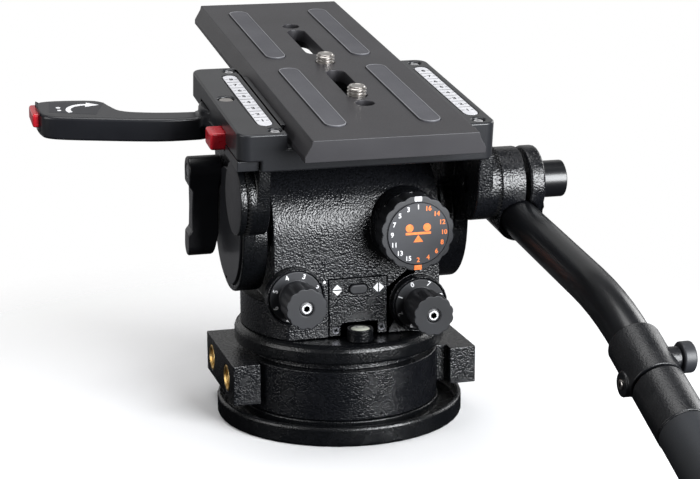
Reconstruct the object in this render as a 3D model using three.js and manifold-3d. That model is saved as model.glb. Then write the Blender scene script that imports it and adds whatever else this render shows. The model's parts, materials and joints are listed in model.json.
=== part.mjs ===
// Fluid video head for a tripod, with its camera plate and its pan handle.
//
// Frame: millimetres, +Z up. The origin lies on the pan axis, on the flat underside of the base.
// The operator stands on the -Y side and the camera looks along +Y, so +X is the operator's right.
// The head is modelled as it was photographed: the camera platform is tipped a few degrees,
// with its front (+Y) end up, and the camera plate is slid forward.
//
// The pieces stand in nested groups, one for each thing that moves:
//   head (fixed base) > panning body > tilting platform > camera plate, release lever, handle > grip
import * as THREE from 'three';
import { mergeVertices } from 'three/addons/utils/BufferGeometryUtils.js';
import Module from 'manifold-3d';

const wasm = await Module();
wasm.setup();

// Clearances and finish
const seatGap = 0.3; // left between two pieces that touch, slide or turn on each other
const overrun = 1.5; // how far a cutting body runs past the face that it cuts
const weldDistance = 0.0001; // points closer than this are one point
const smoothSteps = 48; // facets round the large turned pieces
const knobSteps = 28; // facets round knobs, bosses and tubes
const smallSteps = 16; // facets round screws and pins
const hiddenSteps = 20; // facets round what lies inside
const tubeSteps = 20; // facets round the handle tube

// Base flange, which sits on the tripod
const flangeRadius = 64.2;
const flangeHeight = 10.2;
const flangeChamfer = 1;
const flangeRimWidth = 2.8;
const trenchWidth = 9.4;
const trenchFloorHeight = 4.5;
const flangeSeatHeight = 9.2; // top of the disc inside the trench

// Wing ring, the fixed ring with two side blocks that carry accessory threads
const ringRadius = 51.3;
const ringHeight = 25.3;
const ringBore = 40;
const neckRadius = 46;
const neckHeight = 4.2;
const leftWingHeight = 21;
const rightWingHeight = 19.6;
const leftWingReach = 62;
const rightWingReach = 67;
const wingFrontReach = 25;
const wingBackReach = 42;
const wingCornerDepth = 7; // the step between a side block's front face and the ring
const leftWingInner = 47.9;
const rightWingInner = 53;

// Brass accessory threads in the side blocks
const insertRadius = 6.75;
const insertBore = 4.2;
const insertLength = 12;
const insertWellDepth = 13.5;
const insertHeight = 23.6;
const insertBackY = 29.6;
const insertFrontY = -7.3;

// Pan bearing, drag cup and spindle, hidden inside the ring
const spindleRadius = 10;
const spindleSeatHeight = 3.2;
const spindleHeadRadius = 14;
const spindleHeadHeight = 5;
const dragCupHeight = 18.5;
const turntableHubRadius = 24;

// Turntable, the turning flange under the body
const turntableRadius = 54.6;
const turntableEdgeHeight = 6.3;
const turntableHeight = 9.7;
const turntableTopRadius = 51.4;

// Body that carries the tilt axle, with its flat front
const columnRadius = 51.3;
const columnHeight = 17.7;
const bodyFrontReach = 36.6; // the flat front face and the drum are this far from the tilt axis
const bodyHalfWidth = 43;
const tiltAxisHeight = 102;
const drumBore = 29;
const spindleWellRadius = 15;
const spindleWellFloor = 7; // thickness of the floor that the spindle head clamps

// Front panel with the light button
const panelHalfWidth = 15;
const panelBottom = 50;
const panelTop = 79.2;
const panelThickness = 2;
const panelProud = 0.2;
const levelRecessLeft = -9; // the opening in the panel behind the bubble level
const levelRecessRight = 10.1;
const levelRecessTop = 56.5;
const buttonWidth = 9.5;
const buttonHeight = 5;
const buttonZ = 73.7;
const buttonProud = 1.4;
const buttonDepth = 4.4;
const buttonTravel = 1;

// Level cup with its bubble vial
const levelX = -1;
const levelY = -43.7;
const cupRadius = 6.6;
const cupHeight = 6.2;
const cupWall = 1.4;
const cupFloor = 2.2;
const vialProud = 0.5;

// Drag knobs on the front
const knobBossDepth = 5.4;
const knobBossWall = 1.3;
const knobSkirtDepth = 2.7;
const knobDepth = 21.3; // from the skirt's face to the knob's face
const knobGripLength = 13; // the lobed part, in front of the narrower root
const knobRootRadius = 8.6;
const knobGripRadius = 10.4;
const knobLobes = 12;
const knobLobeDepthShare = 0.07;
const tiltKnobX = -33.2;
const tiltKnobZ = 72.9;
const tiltSkirtRadius = 13.4;
const panKnobX = 31.1;
const panKnobZ = 64.6;
const panSkirtRadius = 13.1;
const panKnobDepth = 22;
const knobScrewRadius = 2.6;
const knobScrewHeadRadius = 3.3;
const knobScrewHeadDepth = 4;
const knobScrewRecess = 0.4;
const knobScrewReach = 7.4; // how far the screw goes into the body

// Counterbalance dial
const dialX = 25;
const dialZ = 105;
const dialRadius = 18.9;
const dialThickness = 12;
const dialFaceRadius = 15.6;
const dialFaceProud = 0.6;
const dialLobes = 16;
const dialLobeDepthShare = 0.05;
const dialBossRadius = 18.6;
const dialBossReach = 44.7; // from the tilt axis to the boss's face
const dialShaftRadius = 5;
const dialShaftSink = 12.4; // into the body
const dialShaftGrip = 8; // into the dial

// Tilt axle with its bearings, drag pack and counterbalance spring, inside the drum
const axleRadius = 12;
const axleHalfLength = 50;
const bearingWidth = 7;
const bearingInset = 0.7;
const dragPackLength = 24;
const springLength = 40;
const springRadius = 26;
const springBore = 14.5;
const packBore = 14;

// Pan lock lever on the back of the ring
const panLockX = -18;
const panLockHubRadius = 8;
const panLockHubDepth = 13;
const panLockLength = 38;
const panLockTipRadius = 5.5;
const panLockStemRadius = 4;
const panLockStemSink = 6;
const panLockZ = 21;
const panLockDiscDepth = 4;

// Tilting platform, measured from the tilt axis with the platform level
const tiltAngle = THREE.MathUtils.degToRad(7.67);
const platformLeft = -68.7;
const platformRight = 57;
const platformFront = -70.6;
const platformBack = 43.4;
const platformBottom = 51.9;
const platformTop = 70.4;
const platformCorner = 6;
const channelFloor = 63.1;
const channelLeft = -45.5; // inner edge of the left block
const undersideFloor = 61.7; // roof of the hollow under the plate
const undersideFront = -60;
const undersideBack = 33;
const undersideLeft = -30;
const pinX = -62.1;
const pinY = -10.9;
const pinRadius = 3.4;
const pinRecessRadius = 4.1;
const pinDepth = 8;
const pinSink = 0.6;

// Lower left cover and the red release button beside it
const coverRight = -57.9;
const coverTop = 57.2;
const coverBack = -22;
const releaseBackY = -27.5;
const releaseFrontY = -40.5;
const releaseBottom = 53.8;
const releaseTop = 62.4;
const releaseOuter = -75.8;
const releaseInner = -60;
const releaseTravel = 4;

// Scale strips let into the platform's top
const stripWidth = 7;
const stripLeftX = -52.4;
const stripRightX = 49.7;
const stripFront = -56;
const stripBack = 29;
const stripThickness = 0.9;
const stripSink = 0.1;
const pocketRadius = 3.3; // for the screw past each end of a strip
const pocketDepth = 3;
const pocketOffset = 8;
const pocketLeftX = -50.2;

// Camera plate, a long dovetail plate
const plateTopHalf = 39.8;
const plateShoulderHalf = 40.4;
const plateFlangeHalf = 43.4;
const plateTop = 73.9;
const plateShoulder = 71.5;
const plateFlangeTop = 66;
const plateBottom = 63.4;
const plateFront = -93.8;
const plateLength = 255.6;
const slotHalfWidth = 5.1;
const slotUnderHalfWidth = 7.4;
const slotUnderDepth = 4.2;
const slotInner = 15.7; // nearest end of both slots, from the plate's middle
const frontSlotOuter = 66.3;
const rearSlotOuter = 65.7;
const plateHoleRadius = 4.75;
const plateHoleOffset = 74.2;

// Rubber pads on the plate
const padX = 23;
const padHalfWidth = 5.25;
const padInner = 10;
const padOuter = 109;
const padSink = 1;
const padProud = 0.5;

// Camera screws
const cameraScrewRadius = 4.76;
const cameraScrewProud = 4.6;
const cameraScrewHeadRadius = 6.4;
const cameraScrewHeadHeight = 3;
const rearScrewOffset = 59.6; // from the plate's middle towards the operator

// Clamp jaw in the left side of the channel
const jawOuter = -46;
const jawFront = -52;
const jawBack = 30;
const jawTop = 69;
const jawTravel = 1.5;

// Release lever: a disc that turns in the platform, and an arm below it
const leverX = -55;
const leverY = 7.5;
const leverDiscRadius = 16.8;
const leverDiscTop = 61.6;
const leverTop = 56.9;
const leverBottom = 44.9;
const leverReach = 92; // from the pivot to the end of the arm
const leverSpread = 42.1; // across the hand pad, along Y
const leverRootY = 2.9;
const leverTipReach = 5; // how far the red tip stands out of the arm's end
const leverTipSink = 5;
const leverTipTravel = 2;
const leverTipFront = 25;
const leverTipBack = 42;
const leverTipTop = 56;
const leverTipBottom = 48.8;

// Cheeks that join the platform to the tilt axle
const cheekInner = 45;
const cheekArmInner = 51.6;
const cheekOuter = 57.5;
const cheekRightOuter = 59;
const cheekDiscRadius = 33.5;
const cheekClearance = 1; // left round the cheeks where they pass the body
const cheekFillet = 5; // slope of the web under the rosette
const cheekBack = 43;
const cheekBackFoot = 44;
const cheekInnerFront = -30;
const cheekSpan = 31; // where the web's back edge meets the disc
const coverDiscRadius = 30;
const coverDiscDepth = 3.8;
const coverDiscProud = 1.1;
const coverNotchRadius = 2.4;

// Handle rosettes on both cheeks
const rosetteY = -46.2;
const rosetteZ = 31.4;
const rosetteRadius = 18.1;
const rosetteRightFace = 64.7;
const rosetteLeftFace = 62.3;
const rosetteCapDepth = 3.4;
const rosetteBolt = 4.3;

// Tilt lock lever on the left cheek
const tiltLockY = 21.9;
const tiltLockZ = 23.3;
const tiltLockHubRadius = 7.2;
const tiltLockWaist = 4.6;
const tiltLockTipRadius = 6;
const tiltLockLength = 40.5;
const tiltLockOuter = -75;
const tiltLockTipInner = -62.4;
const tiltLockBladeInner = -59.2;
const tiltLockFoot = 34; // where the blade widens again below its waist
const tiltLockNotch = 1.9; // how far the outer face steps in between the hub and the foot
const tiltLockNotchSlope = 2.5;
const tiltLockStemRadius = 3;

// Handle clamp, measured from the rosette axis
const clampRadius = 17.5;
const clampInnerEnd = 77.3;
const clampOuterStart = 79.7;
const clampOuterEnd = 87.6;
const clampSleeveRadius = 12;
const clampSleeveBack = 14;
const clampSleeveFront = -12;
const lockKnobRadius = 9.2;
const lockKnobWasher = 11;
const lockKnobWasherDepth = 1.4;
const lockKnobEnd = 102.2;
const lockKnobBolt = 4;
const lockKnobBoltInner = 53.5;
const lockKnobSocket = 5.4;
const lockKnobSocketDepth = 2;

// Handle tube, in its own upright plane beside the head
const tubeX = 76;
const tubeRadius = 9.5;
const tubeBore = 7.6;
const tubeDrop = 15; // height of the tube's axis below the rosette axis, straight under it
const tubeFirstSlope = THREE.MathUtils.degToRad(7.2);
const tubeSecondSlope = THREE.MathUtils.degToRad(23.5);
const tubeBackReach = 13; // behind the rosette axis
const tubeBend = 124.3; // distance from the rosette axis to the middle of the bend, along Y
const tubeBendLength = 24.5; // from the middle of the bend to each of its ends
const tubeTailLength = 150; // straight end inside the grip
const tubeBendSteps = 5;

// Collar, grip tube and rubber grip that slide on the tube's straight end
const collarStart = 2;
const collarLength = 27;
const collarRadius = 11.9;
const collarSplit = 1.6;
const collarBossRadius = 5;
const collarBossReach = 12.4;
const collarKnobY = 19;
const collarKnobLift = 5;
const collarKnobRadius = 6.8;
const collarKnobLength = 6;
const collarKnobStem = 2;
const collarKnobStemLength = 2.6;
const collarLugWidth = 5;
const collarLugReach = 13;
const collarLugRadius = 5.5;
const collarLugY = 22.5;
const collarLugLift = -4;
const ferruleLength = 27;
const gripTubeRadius = 10.7;
const gripTubeLength = 148;
const rubberRadius = 11.6;
const rubberLength = 122;
const rubberCapThickness = 3;

// Materials, one for each kind of surface
function paint(color, roughness, metalness) {
  return new THREE.MeshStandardMaterial({ color, roughness, metalness });
}

const finish = {
  grainedBlack: () => paint(0x17181b, 0.42, 0.2),
  satinBlack: () => paint(0x1a1b1e, 0.38, 0.1),
  anodised: () => paint(0x4a494c, 0.4, 0.6),
  knobGrey: () => paint(0x2b2d30, 0.45, 0.1),
  steel: () => paint(0xb9bbbd, 0.28, 1),
  brass: () => paint(0xb08a3e, 0.3, 1),
  red: () => paint(0xc01c28, 0.35, 0),
  rubber: () => paint(0x2c3036, 0.8, 0),
  pad: () => paint(0x55595c, 0.75, 0),
  white: () => paint(0xe8e9ec, 0.5, 0),
  vial: () => paint(0xb9c46a, 0.1, 0),
};

// Turns a geometry into a closed solid: only positions are kept and doubled points are merged.
function solid(geometry) {
  const bare = new THREE.BufferGeometry();
  bare.setAttribute('position', geometry.getAttribute('position'));
  if (geometry.index) bare.setIndex(geometry.index);
  const merged = mergeVertices(bare, weldDistance);
  const points = merged.getAttribute('position').array;
  const index = merged.index.array;
  const triangles = [];
  let volume = 0;
  const corner = (i) => new THREE.Vector3().fromArray(points, i * 3);
  for (let i = 0; i < index.length; i += 3) {
    const [a, b, c] = [index[i], index[i + 1], index[i + 2]];
    if (a === b || b === c || c === a) continue;
    triangles.push(a, b, c);
    volume += corner(a).dot(corner(b).cross(corner(c)));
  }
  if (volume < 0) {
    for (let i = 0; i < triangles.length; i += 3) {
      [triangles[i + 1], triangles[i + 2]] = [triangles[i + 2], triangles[i + 1]];
    }
  }
  return new wasm.Manifold(new wasm.Mesh({
    numProp: 3,
    vertProperties: new Float32Array(points),
    triVerts: new Uint32Array(triangles),
  }));
}

function join(...bodies) {
  return bodies.reduce((sum, body) => sum.add(body));
}

function cut(body, ...tools) {
  return tools.reduce((rest, tool) => rest.subtract(tool), body);
}

// Gives a solid back as a named mesh, placed in its group.
function piece(group, name, body, material, position = [0, 0, 0]) {
  const mesh = body.getMesh();
  const geometry = new THREE.BufferGeometry();
  geometry.setAttribute('position', new THREE.BufferAttribute(mesh.vertProperties, 3));
  geometry.setIndex(new THREE.BufferAttribute(mesh.triVerts, 1));
  geometry.computeVertexNormals();
  const result = new THREE.Mesh(geometry, material);
  result.name = name;
  result.position.set(...position);
  group.add(result);
  return result;
}

// A box between two corners.
function block([x0, y0, z0], [x1, y1, z1]) {
  const box = new THREE.BoxGeometry(x1 - x0, y1 - y0, z1 - z0);
  return solid(box.translate((x0 + x1) / 2, (y0 + y1) / 2, (z0 + z1) / 2));
}

// Turns geometry built along +Z so that its length lies along the named axis.
function aim(geometry, axis) {
  if (axis === 'x') return geometry.rotateZ(Math.PI / 2).rotateY(Math.PI / 2);
  if (axis === 'y') return geometry.rotateY(-Math.PI / 2).rotateZ(-Math.PI / 2);
  return geometry;
}

// A round rod from one distance to another along an axis; the centre gives the two other coordinates.
function rod(axis, radius, from, to, centre = [0, 0], steps = smallSteps) {
  const geometry = new THREE.CylinderGeometry(radius, radius, to - from, steps);
  geometry.rotateX(Math.PI / 2).translate(0, 0, (from + to) / 2);
  aim(geometry, axis);
  const [u, v] = centre;
  if (axis === 'x') geometry.translate(0, u, v);
  if (axis === 'y') geometry.translate(u, 0, v);
  if (axis === 'z') geometry.translate(u, v, 0);
  return solid(geometry);
}

// A turned piece: its profile lists [radius, distance] pairs that start and end on the axis.
function turned(profile, steps = smoothSteps, axis = 'z') {
  const points = profile.map(([radius, along]) => new THREE.Vector2(radius, along));
  const geometry = new THREE.LatheGeometry(points, steps).rotateX(Math.PI / 2);
  return solid(aim(geometry, axis));
}

// A sleeve: a turned ring between two radii.
function sleeve(outer, bore, from, to, steps = smoothSteps, axis = 'z') {
  return turned([[bore, from], [outer, from], [outer, to], [bore, to], [bore, from]], steps, axis);
}

// An outline pushed from one distance to another. It lies in the plane square to the axis:
// XY for z, YZ for x and XZ for y.
function slab(outline, axis, from, to) {
  const shape = Array.isArray(outline)
    ? new THREE.Shape(outline.map(([u, v]) => new THREE.Vector2(u, v)))
    : outline;
  const settings = { depth: to - from, bevelEnabled: false, curveSegments: 6 };
  const geometry = new THREE.ExtrudeGeometry(shape, settings);
  if (axis === 'x') geometry.applyMatrix4(swap('y', 'z', 'x')).translate(from, 0, 0);
  if (axis === 'y') geometry.applyMatrix4(swap('x', 'z', 'y')).translate(0, from, 0);
  if (axis === 'z') geometry.translate(0, 0, from);
  return solid(geometry);
}

// The matrix that carries the outline's two axes and its depth onto the named axes.
function swap(first, second, third) {
  const unit = { x: [1, 0, 0], y: [0, 1, 0], z: [0, 0, 1] };
  const [u, v, w] = [first, second, third].map((name) => new THREE.Vector3(...unit[name]));
  return new THREE.Matrix4().makeBasis(u, v, w);
}

// A rectangle with round corners.
function roundedBox(left, right, front, back, corner) {
  const shape = new THREE.Shape();
  const quarter = Math.PI / 2;
  shape.absarc(right - corner, back - corner, corner, 0, quarter, false);
  shape.absarc(left + corner, back - corner, corner, quarter, 2 * quarter, false);
  shape.absarc(left + corner, front + corner, corner, 2 * quarter, 3 * quarter, false);
  shape.absarc(right - corner, front + corner, corner, 3 * quarter, 4 * quarter, false);
  return shape;
}

// The outline of two discs with a straight belt round them.
function belt([x0, y0, r0], [x1, y1, r1], steps = 10) {
  const along = Math.atan2(y1 - y0, x1 - x0);
  const lean = Math.acos((r0 - r1) / Math.hypot(x1 - x0, y1 - y0));
  const outline = [];
  for (let i = 0; i <= steps; i += 1) {
    const angle = along + lean + (2 * Math.PI - 2 * lean) * (i / steps);
    outline.push([x0 + r0 * Math.cos(angle), y0 + r0 * Math.sin(angle)]);
  }
  for (let i = 0; i <= steps; i += 1) {
    const angle = along - lean + 2 * lean * (i / steps);
    outline.push([x1 + r1 * Math.cos(angle), y1 + r1 * Math.sin(angle)]);
  }
  return outline;
}

// A round outline with shallow finger lobes.
function lobed(radius, lobes, depthShare) {
  const outline = [];
  const pointsPerLobe = 4;
  const count = lobes * pointsPerLobe;
  for (let i = 0; i < count; i += 1) {
    const angle = (2 * Math.PI * i) / count;
    const dip = Math.abs(Math.cos((angle * lobes) / 2)) ** 4;
    const reach = radius * (1 - depthShare * dip);
    outline.push([reach * Math.cos(angle), reach * Math.sin(angle)]);
  }
  return outline;
}

// Heights that stack up from the base
const ringBottom = flangeSeatHeight + seatGap;
const ringTop = ringBottom + ringHeight;
const neckTop = ringTop + neckHeight;
const turntableBottom = neckTop + seatGap;
const turntableTop = turntableBottom + turntableHeight;
const bodyBottom = turntableTop + seatGap;
const dragCupTop = ringBottom + dragCupHeight;
const hubBottom = dragCupTop + seatGap;
const bodyFront = -bodyFrontReach;
const spindleHeadBottom = bodyBottom + spindleWellFloor + seatGap;

// The base and everything fixed to it
const head = new THREE.Group();

function makeBaseFlange() {
  const trenchOuter = flangeRadius - flangeRimWidth;
  const trenchInner = trenchOuter - trenchWidth;
  const body = turned([
    [0, 0],
    [flangeRadius - flangeChamfer, 0],
    [flangeRadius, flangeChamfer],
    [flangeRadius, flangeHeight - flangeChamfer],
    [flangeRadius - flangeChamfer, flangeHeight],
    [trenchOuter, flangeHeight],
    [trenchOuter, trenchFloorHeight],
    [trenchInner, trenchFloorHeight],
    [trenchInner, flangeSeatHeight],
    [0, flangeSeatHeight],
  ]);
  return cut(body, rod('z', spindleRadius + seatGap, spindleSeatHeight, flangeSeatHeight + overrun,
    [0, 0], knobSteps));
}

function makeWingRing() {
  const ring = turned([
    [0, ringBottom],
    [ringRadius, ringBottom],
    [ringRadius, ringTop],
    [neckRadius, ringTop],
    [neckRadius, neckTop],
    [0, neckTop],
  ]);
  const wings = join(
    block([-leftWingReach, -wingFrontReach, ringTop - leftWingHeight], [0, wingBackReach, ringTop]),
    block([0, -wingFrontReach, ringTop - rightWingHeight], [rightWingReach, wingBackReach, ringTop]),
  );
  const corners = block([-leftWingInner, -wingFrontReach - overrun, 0],
    [rightWingInner, wingCornerDepth - wingFrontReach, ringTop + overrun]);
  const bore = rod('z', ringBore, ringBottom - overrun, neckTop + overrun, [0, 0], smoothSteps);
  const insertWellRadius = insertRadius + seatGap;
  const wells = [insertBackY, insertFrontY].flatMap((y) => [
    rod('x', insertWellRadius, -leftWingReach - overrun, insertWellDepth - leftWingReach, [y, insertHeight]),
    rod('x', insertWellRadius, rightWingReach - insertWellDepth, rightWingReach + overrun, [y, insertHeight]),
  ]);
  const stemHole = rod('y', panLockStemRadius + seatGap, ringRadius - panLockStemSink, ringRadius + overrun,
    [panLockX, panLockZ]);
  return cut(join(ring, cut(wings, corners)), bore, ...wells, stemHole);
}

function makeInsert(side) {
  return side < 0
    ? sleeve(insertRadius, insertBore, 0, insertLength, smallSteps, 'x')
    : sleeve(insertRadius, insertBore, -insertLength, 0, smallSteps, 'x');
}

function makeSpindle() {
  return turned([
    [0, spindleSeatHeight + seatGap],
    [spindleRadius, spindleSeatHeight + seatGap],
    [spindleRadius, spindleHeadBottom],
    [spindleHeadRadius, spindleHeadBottom],
    [spindleHeadRadius, spindleHeadBottom + spindleHeadHeight],
    [0, spindleHeadBottom + spindleHeadHeight],
  ], hiddenSteps);
}

piece(head, 'base_flange', makeBaseFlange(), finish.grainedBlack());
piece(head, 'wing_ring', makeWingRing(), finish.grainedBlack());
piece(head, 'accessory_thread_left_rear', makeInsert(-1), finish.brass(),
  [-leftWingReach, insertBackY, insertHeight]);
piece(head, 'accessory_thread_left_front', makeInsert(-1), finish.brass(),
  [-leftWingReach, insertFrontY, insertHeight]);
piece(head, 'accessory_thread_right_rear', makeInsert(1), finish.brass(),
  [rightWingReach, insertBackY, insertHeight]);
piece(head, 'accessory_thread_right_front', makeInsert(1), finish.brass(),
  [rightWingReach, insertFrontY, insertHeight]);
piece(head, 'pan_spindle', makeSpindle(), finish.steel());
piece(head, 'pan_drag_cup',
  sleeve(ringBore - seatGap, spindleRadius + seatGap, ringBottom, dragCupTop, hiddenSteps), finish.steel());
piece(head, 'pan_bearing',
  sleeve(ringBore - seatGap, turntableHubRadius + 2 * seatGap, hubBottom, neckTop, hiddenSteps),
  finish.steel());

// Pan lock lever: a hub that turns about Y on the back of the ring, with a hanging blade
function makePanLock() {
  const start = panLockHubDepth - panLockDiscDepth;
  const stem = rod('y', panLockStemRadius, -panLockStemSink, overrun);
  const hub = rod('y', panLockHubRadius, seatGap, panLockHubDepth, [0, 0], knobSteps);
  const outline = belt([0, 0, panLockHubRadius], [panLockLength, 0, panLockTipRadius]);
  const blade = slab(outline, 'y', start, panLockHubDepth);
  return join(stem, hub, blade);
}

piece(head, 'pan_lock_lever', makePanLock(), finish.satinBlack(),
  [panLockX, ringRadius + seatGap, panLockZ]);

// The panning body
const panning = new THREE.Group();
head.add(panning);

function makeTurntable() {
  const edgeTop = turntableBottom + turntableEdgeHeight;
  const round = turntableRadius - turntableTopRadius;
  const rise = turntableTop - edgeTop;
  const edge = [0, 1, 2, 3].map((i) => {
    const angle = (Math.PI / 2) * (i / 3);
    return [turntableTopRadius + round * Math.cos(angle), edgeTop + rise * Math.sin(angle)];
  });
  const body = turned([
    [0, hubBottom],
    [turntableHubRadius, hubBottom],
    [turntableHubRadius, turntableBottom],
    [turntableRadius, turntableBottom],
    ...edge,
    [0, turntableTop],
  ]);
  const holeRadius = spindleRadius + seatGap;
  const hole = rod('z', holeRadius, hubBottom - overrun, turntableTop + overrun, [0, 0], knobSteps);
  return cut(body, hole);
}

// The raised boss round a drag knob, with the well that its skirt turns in
function knobBoss(x, z, skirtRadius) {
  const radius = skirtRadius + knobBossWall;
  return rod('y', radius, bodyFront - knobBossDepth, bodyFront + overrun, [x, z], knobSteps);
}

function knobWell(x, z, skirtRadius) {
  const floor = bodyFront - knobBossDepth + knobSkirtDepth + seatGap;
  const well = rod('y', skirtRadius + seatGap, bodyFront - knobBossDepth - overrun, floor, [x, z], knobSteps);
  const holeEnd = bodyFront + knobScrewReach + seatGap;
  const hole = rod('y', knobScrewRadius + seatGap, floor - overrun, holeEnd, [x, z]);
  return join(well, hole);
}

function makeBody() {
  const columnTop = bodyBottom + columnHeight;
  const column = rod('z', columnRadius, bodyBottom, columnTop, [0, 0], smoothSteps);
  const trunk = block(
    [-bodyHalfWidth, bodyFront, bodyBottom + overrun],
    [bodyHalfWidth, bodyFrontReach, tiltAxisHeight],
  );
  const drum = rod('x', bodyFrontReach, -bodyHalfWidth, bodyHalfWidth, [0, tiltAxisHeight], smoothSteps);
  const columnFront = block(
    [-columnRadius, -columnRadius - overrun, bodyBottom - overrun],
    [columnRadius, bodyFront, columnTop + overrun],
  );
  const dialBoss = rod('y', dialBossRadius, -dialBossReach, -drumBore, [dialX, dialZ], knobSteps);
  const bosses = join(
    knobBoss(tiltKnobX, tiltKnobZ, tiltSkirtRadius),
    knobBoss(panKnobX, panKnobZ, panSkirtRadius),
    dialBoss,
  );
  const below = block([-columnRadius, -columnRadius, 0], [columnRadius, columnRadius, bodyBottom]);
  const trunkInColumn = cut(trunk, block(
    [-columnRadius, -columnRadius, bodyBottom],
    [columnRadius, columnRadius, columnTop - overrun],
  ));
  const mass = join(cut(column, columnFront), trunkInColumn, drum, bosses);
  const holeRadius = spindleRadius + seatGap;
  const spindleHole = rod('z', holeRadius, bodyBottom - overrun, tiltAxisHeight, [0, 0], knobSteps);
  const wellFloor = bodyBottom + spindleWellFloor;
  const spindleWell = rod('z', spindleWellRadius, wellFloor, tiltAxisHeight, [0, 0], knobSteps);
  const boreEnd = bodyHalfWidth + overrun;
  const axleBore = rod('x', drumBore, -boreEnd, boreEnd, [0, tiltAxisHeight], smoothSteps);
  const cheekStart = cheekInner - cheekClearance;
  const cheekSpaces = [[-tubeX, -cheekStart], [cheekStart, tubeX]].map(([from, to]) => (
    rod('x', cheekDiscRadius + cheekClearance, from, to, [0, tiltAxisHeight], smoothSteps)
  ));
  const panelWell = block(
    [-panelHalfWidth - seatGap, bodyFront - overrun, panelBottom - seatGap],
    [panelHalfWidth + seatGap, bodyFront + panelThickness - panelProud + seatGap, panelTop + seatGap],
  );
  const buttonWell = buttonHole(bodyFront, bodyFront + buttonDepth + buttonTravel);
  const shaftHole = rod('y', dialShaftRadius + seatGap, -dialBossReach - overrun,
    -dialBossReach + dialShaftSink + seatGap, [dialX, dialZ]);
  const knobWells = [
    knobWell(tiltKnobX, tiltKnobZ, tiltSkirtRadius),
    knobWell(panKnobX, panKnobZ, panSkirtRadius),
  ];
  return cut(mass, below, spindleHole, spindleWell, axleBore, panelWell, buttonWell, shaftHole,
    ...cheekSpaces, ...knobWells);
}

// The oval of the light button, grown by a clearance
function buttonOval(growth) {
  const half = buttonHeight / 2;
  const reach = buttonWidth / 2 - half;
  return belt([-reach, buttonZ, half + growth], [reach, buttonZ, half + growth], 8);
}

function buttonHole(from, to) {
  return slab(buttonOval(seatGap), 'y', from, to);
}

function makePanel() {
  const face = bodyFront - panelProud;
  const back = face + panelThickness;
  const plate = block([-panelHalfWidth, face, panelBottom], [panelHalfWidth, back, panelTop]);
  const recess = block([levelRecessLeft, face - overrun, panelBottom - overrun],
    [levelRecessRight, back + overrun, levelRecessTop]);
  return cut(plate, buttonHole(face - overrun, back + overrun), recess);
}

// A drag knob about its own axis: the skirt's face lies at 0 and the knob stands out along -Y
function makeDragKnob(skirtRadius, depth) {
  const skirt = rod('y', skirtRadius, 0, knobSkirtDepth, [0, 0], knobSteps);
  const root = rod('y', knobRootRadius, knobGripLength - depth - overrun, overrun, [0, 0], knobSteps);
  const gripOutline = lobed(knobGripRadius, knobLobes, knobLobeDepthShare);
  const grip = slab(gripOutline, 'y', -depth, knobGripLength - depth);
  const bore = rod('y', knobScrewRadius + seatGap, -depth - overrun, knobSkirtDepth + overrun);
  const headWell = rod('y', knobScrewHeadRadius + seatGap, -depth - overrun,
    -depth + knobScrewRecess + knobScrewHeadDepth + seatGap);
  return cut(join(skirt, root, grip), bore, headWell);
}

function makeKnobScrew(depth) {
  const headTop = -depth + knobScrewRecess;
  const headBottom = headTop + knobScrewHeadDepth;
  return join(
    rod('y', knobScrewHeadRadius, headTop, headBottom),
    rod('y', knobScrewRadius, headBottom - overrun, knobBossDepth + knobScrewReach),
  );
}

function makeDial() {
  const rimFace = dialFaceProud - dialThickness;
  const rim = slab(lobed(dialRadius, dialLobes, dialLobeDepthShare), 'y', rimFace, 0);
  const face = rod('y', dialFaceRadius, -dialThickness, rimFace + overrun, [0, 0], smoothSteps);
  return cut(join(rim, face), rod('y', dialShaftRadius + seatGap, -dialShaftGrip, overrun));
}

piece(panning, 'turntable', makeTurntable(), finish.grainedBlack());
piece(panning, 'pan_body', makeBody(), finish.grainedBlack());
piece(panning, 'front_panel', makePanel(), finish.satinBlack());
piece(panning, 'level_light_button', slab(buttonOval(0), 'y', bodyFront - panelProud - buttonProud,
  bodyFront - panelProud - buttonProud + buttonDepth), finish.satinBlack());

function makeLevelCup() {
  const bore = cupRadius - cupWall;
  return turned([
    [0, 0],
    [cupRadius, 0],
    [cupRadius, cupHeight],
    [bore, cupHeight],
    [bore, cupFloor],
    [0, cupFloor],
  ], knobSteps);
}

function makeVial() {
  const radius = cupRadius - cupWall - seatGap;
  const bottom = cupFloor + seatGap;
  return turned([
    [0, bottom],
    [radius, bottom],
    [radius, cupHeight],
    [radius / 2, cupHeight + vialProud],
    [0, cupHeight + vialProud],
  ], knobSteps);
}

piece(panning, 'level_cup', makeLevelCup(), finish.satinBlack(), [levelX, levelY, bodyBottom]);
piece(panning, 'level_vial', makeVial(), finish.vial(), [levelX, levelY, bodyBottom]);

const skirtFace = bodyFront - knobBossDepth;
piece(panning, 'tilt_drag_knob', makeDragKnob(tiltSkirtRadius, knobDepth), finish.satinBlack(),
  [tiltKnobX, skirtFace, tiltKnobZ]);
piece(panning, 'tilt_drag_screw', makeKnobScrew(knobDepth), finish.steel(),
  [tiltKnobX, skirtFace, tiltKnobZ]);
piece(panning, 'pan_drag_knob', makeDragKnob(panSkirtRadius, panKnobDepth), finish.satinBlack(),
  [panKnobX, skirtFace, panKnobZ]);
piece(panning, 'pan_drag_screw', makeKnobScrew(panKnobDepth), finish.steel(),
  [panKnobX, skirtFace, panKnobZ]);
piece(panning, 'counterbalance_dial', makeDial(), finish.satinBlack(),
  [dialX, -dialBossReach - seatGap, dialZ]);
piece(panning, 'counterbalance_shaft',
  rod('y', dialShaftRadius, -dialShaftGrip, dialShaftSink), finish.steel(),
  [dialX, -dialBossReach, dialZ]);

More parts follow.
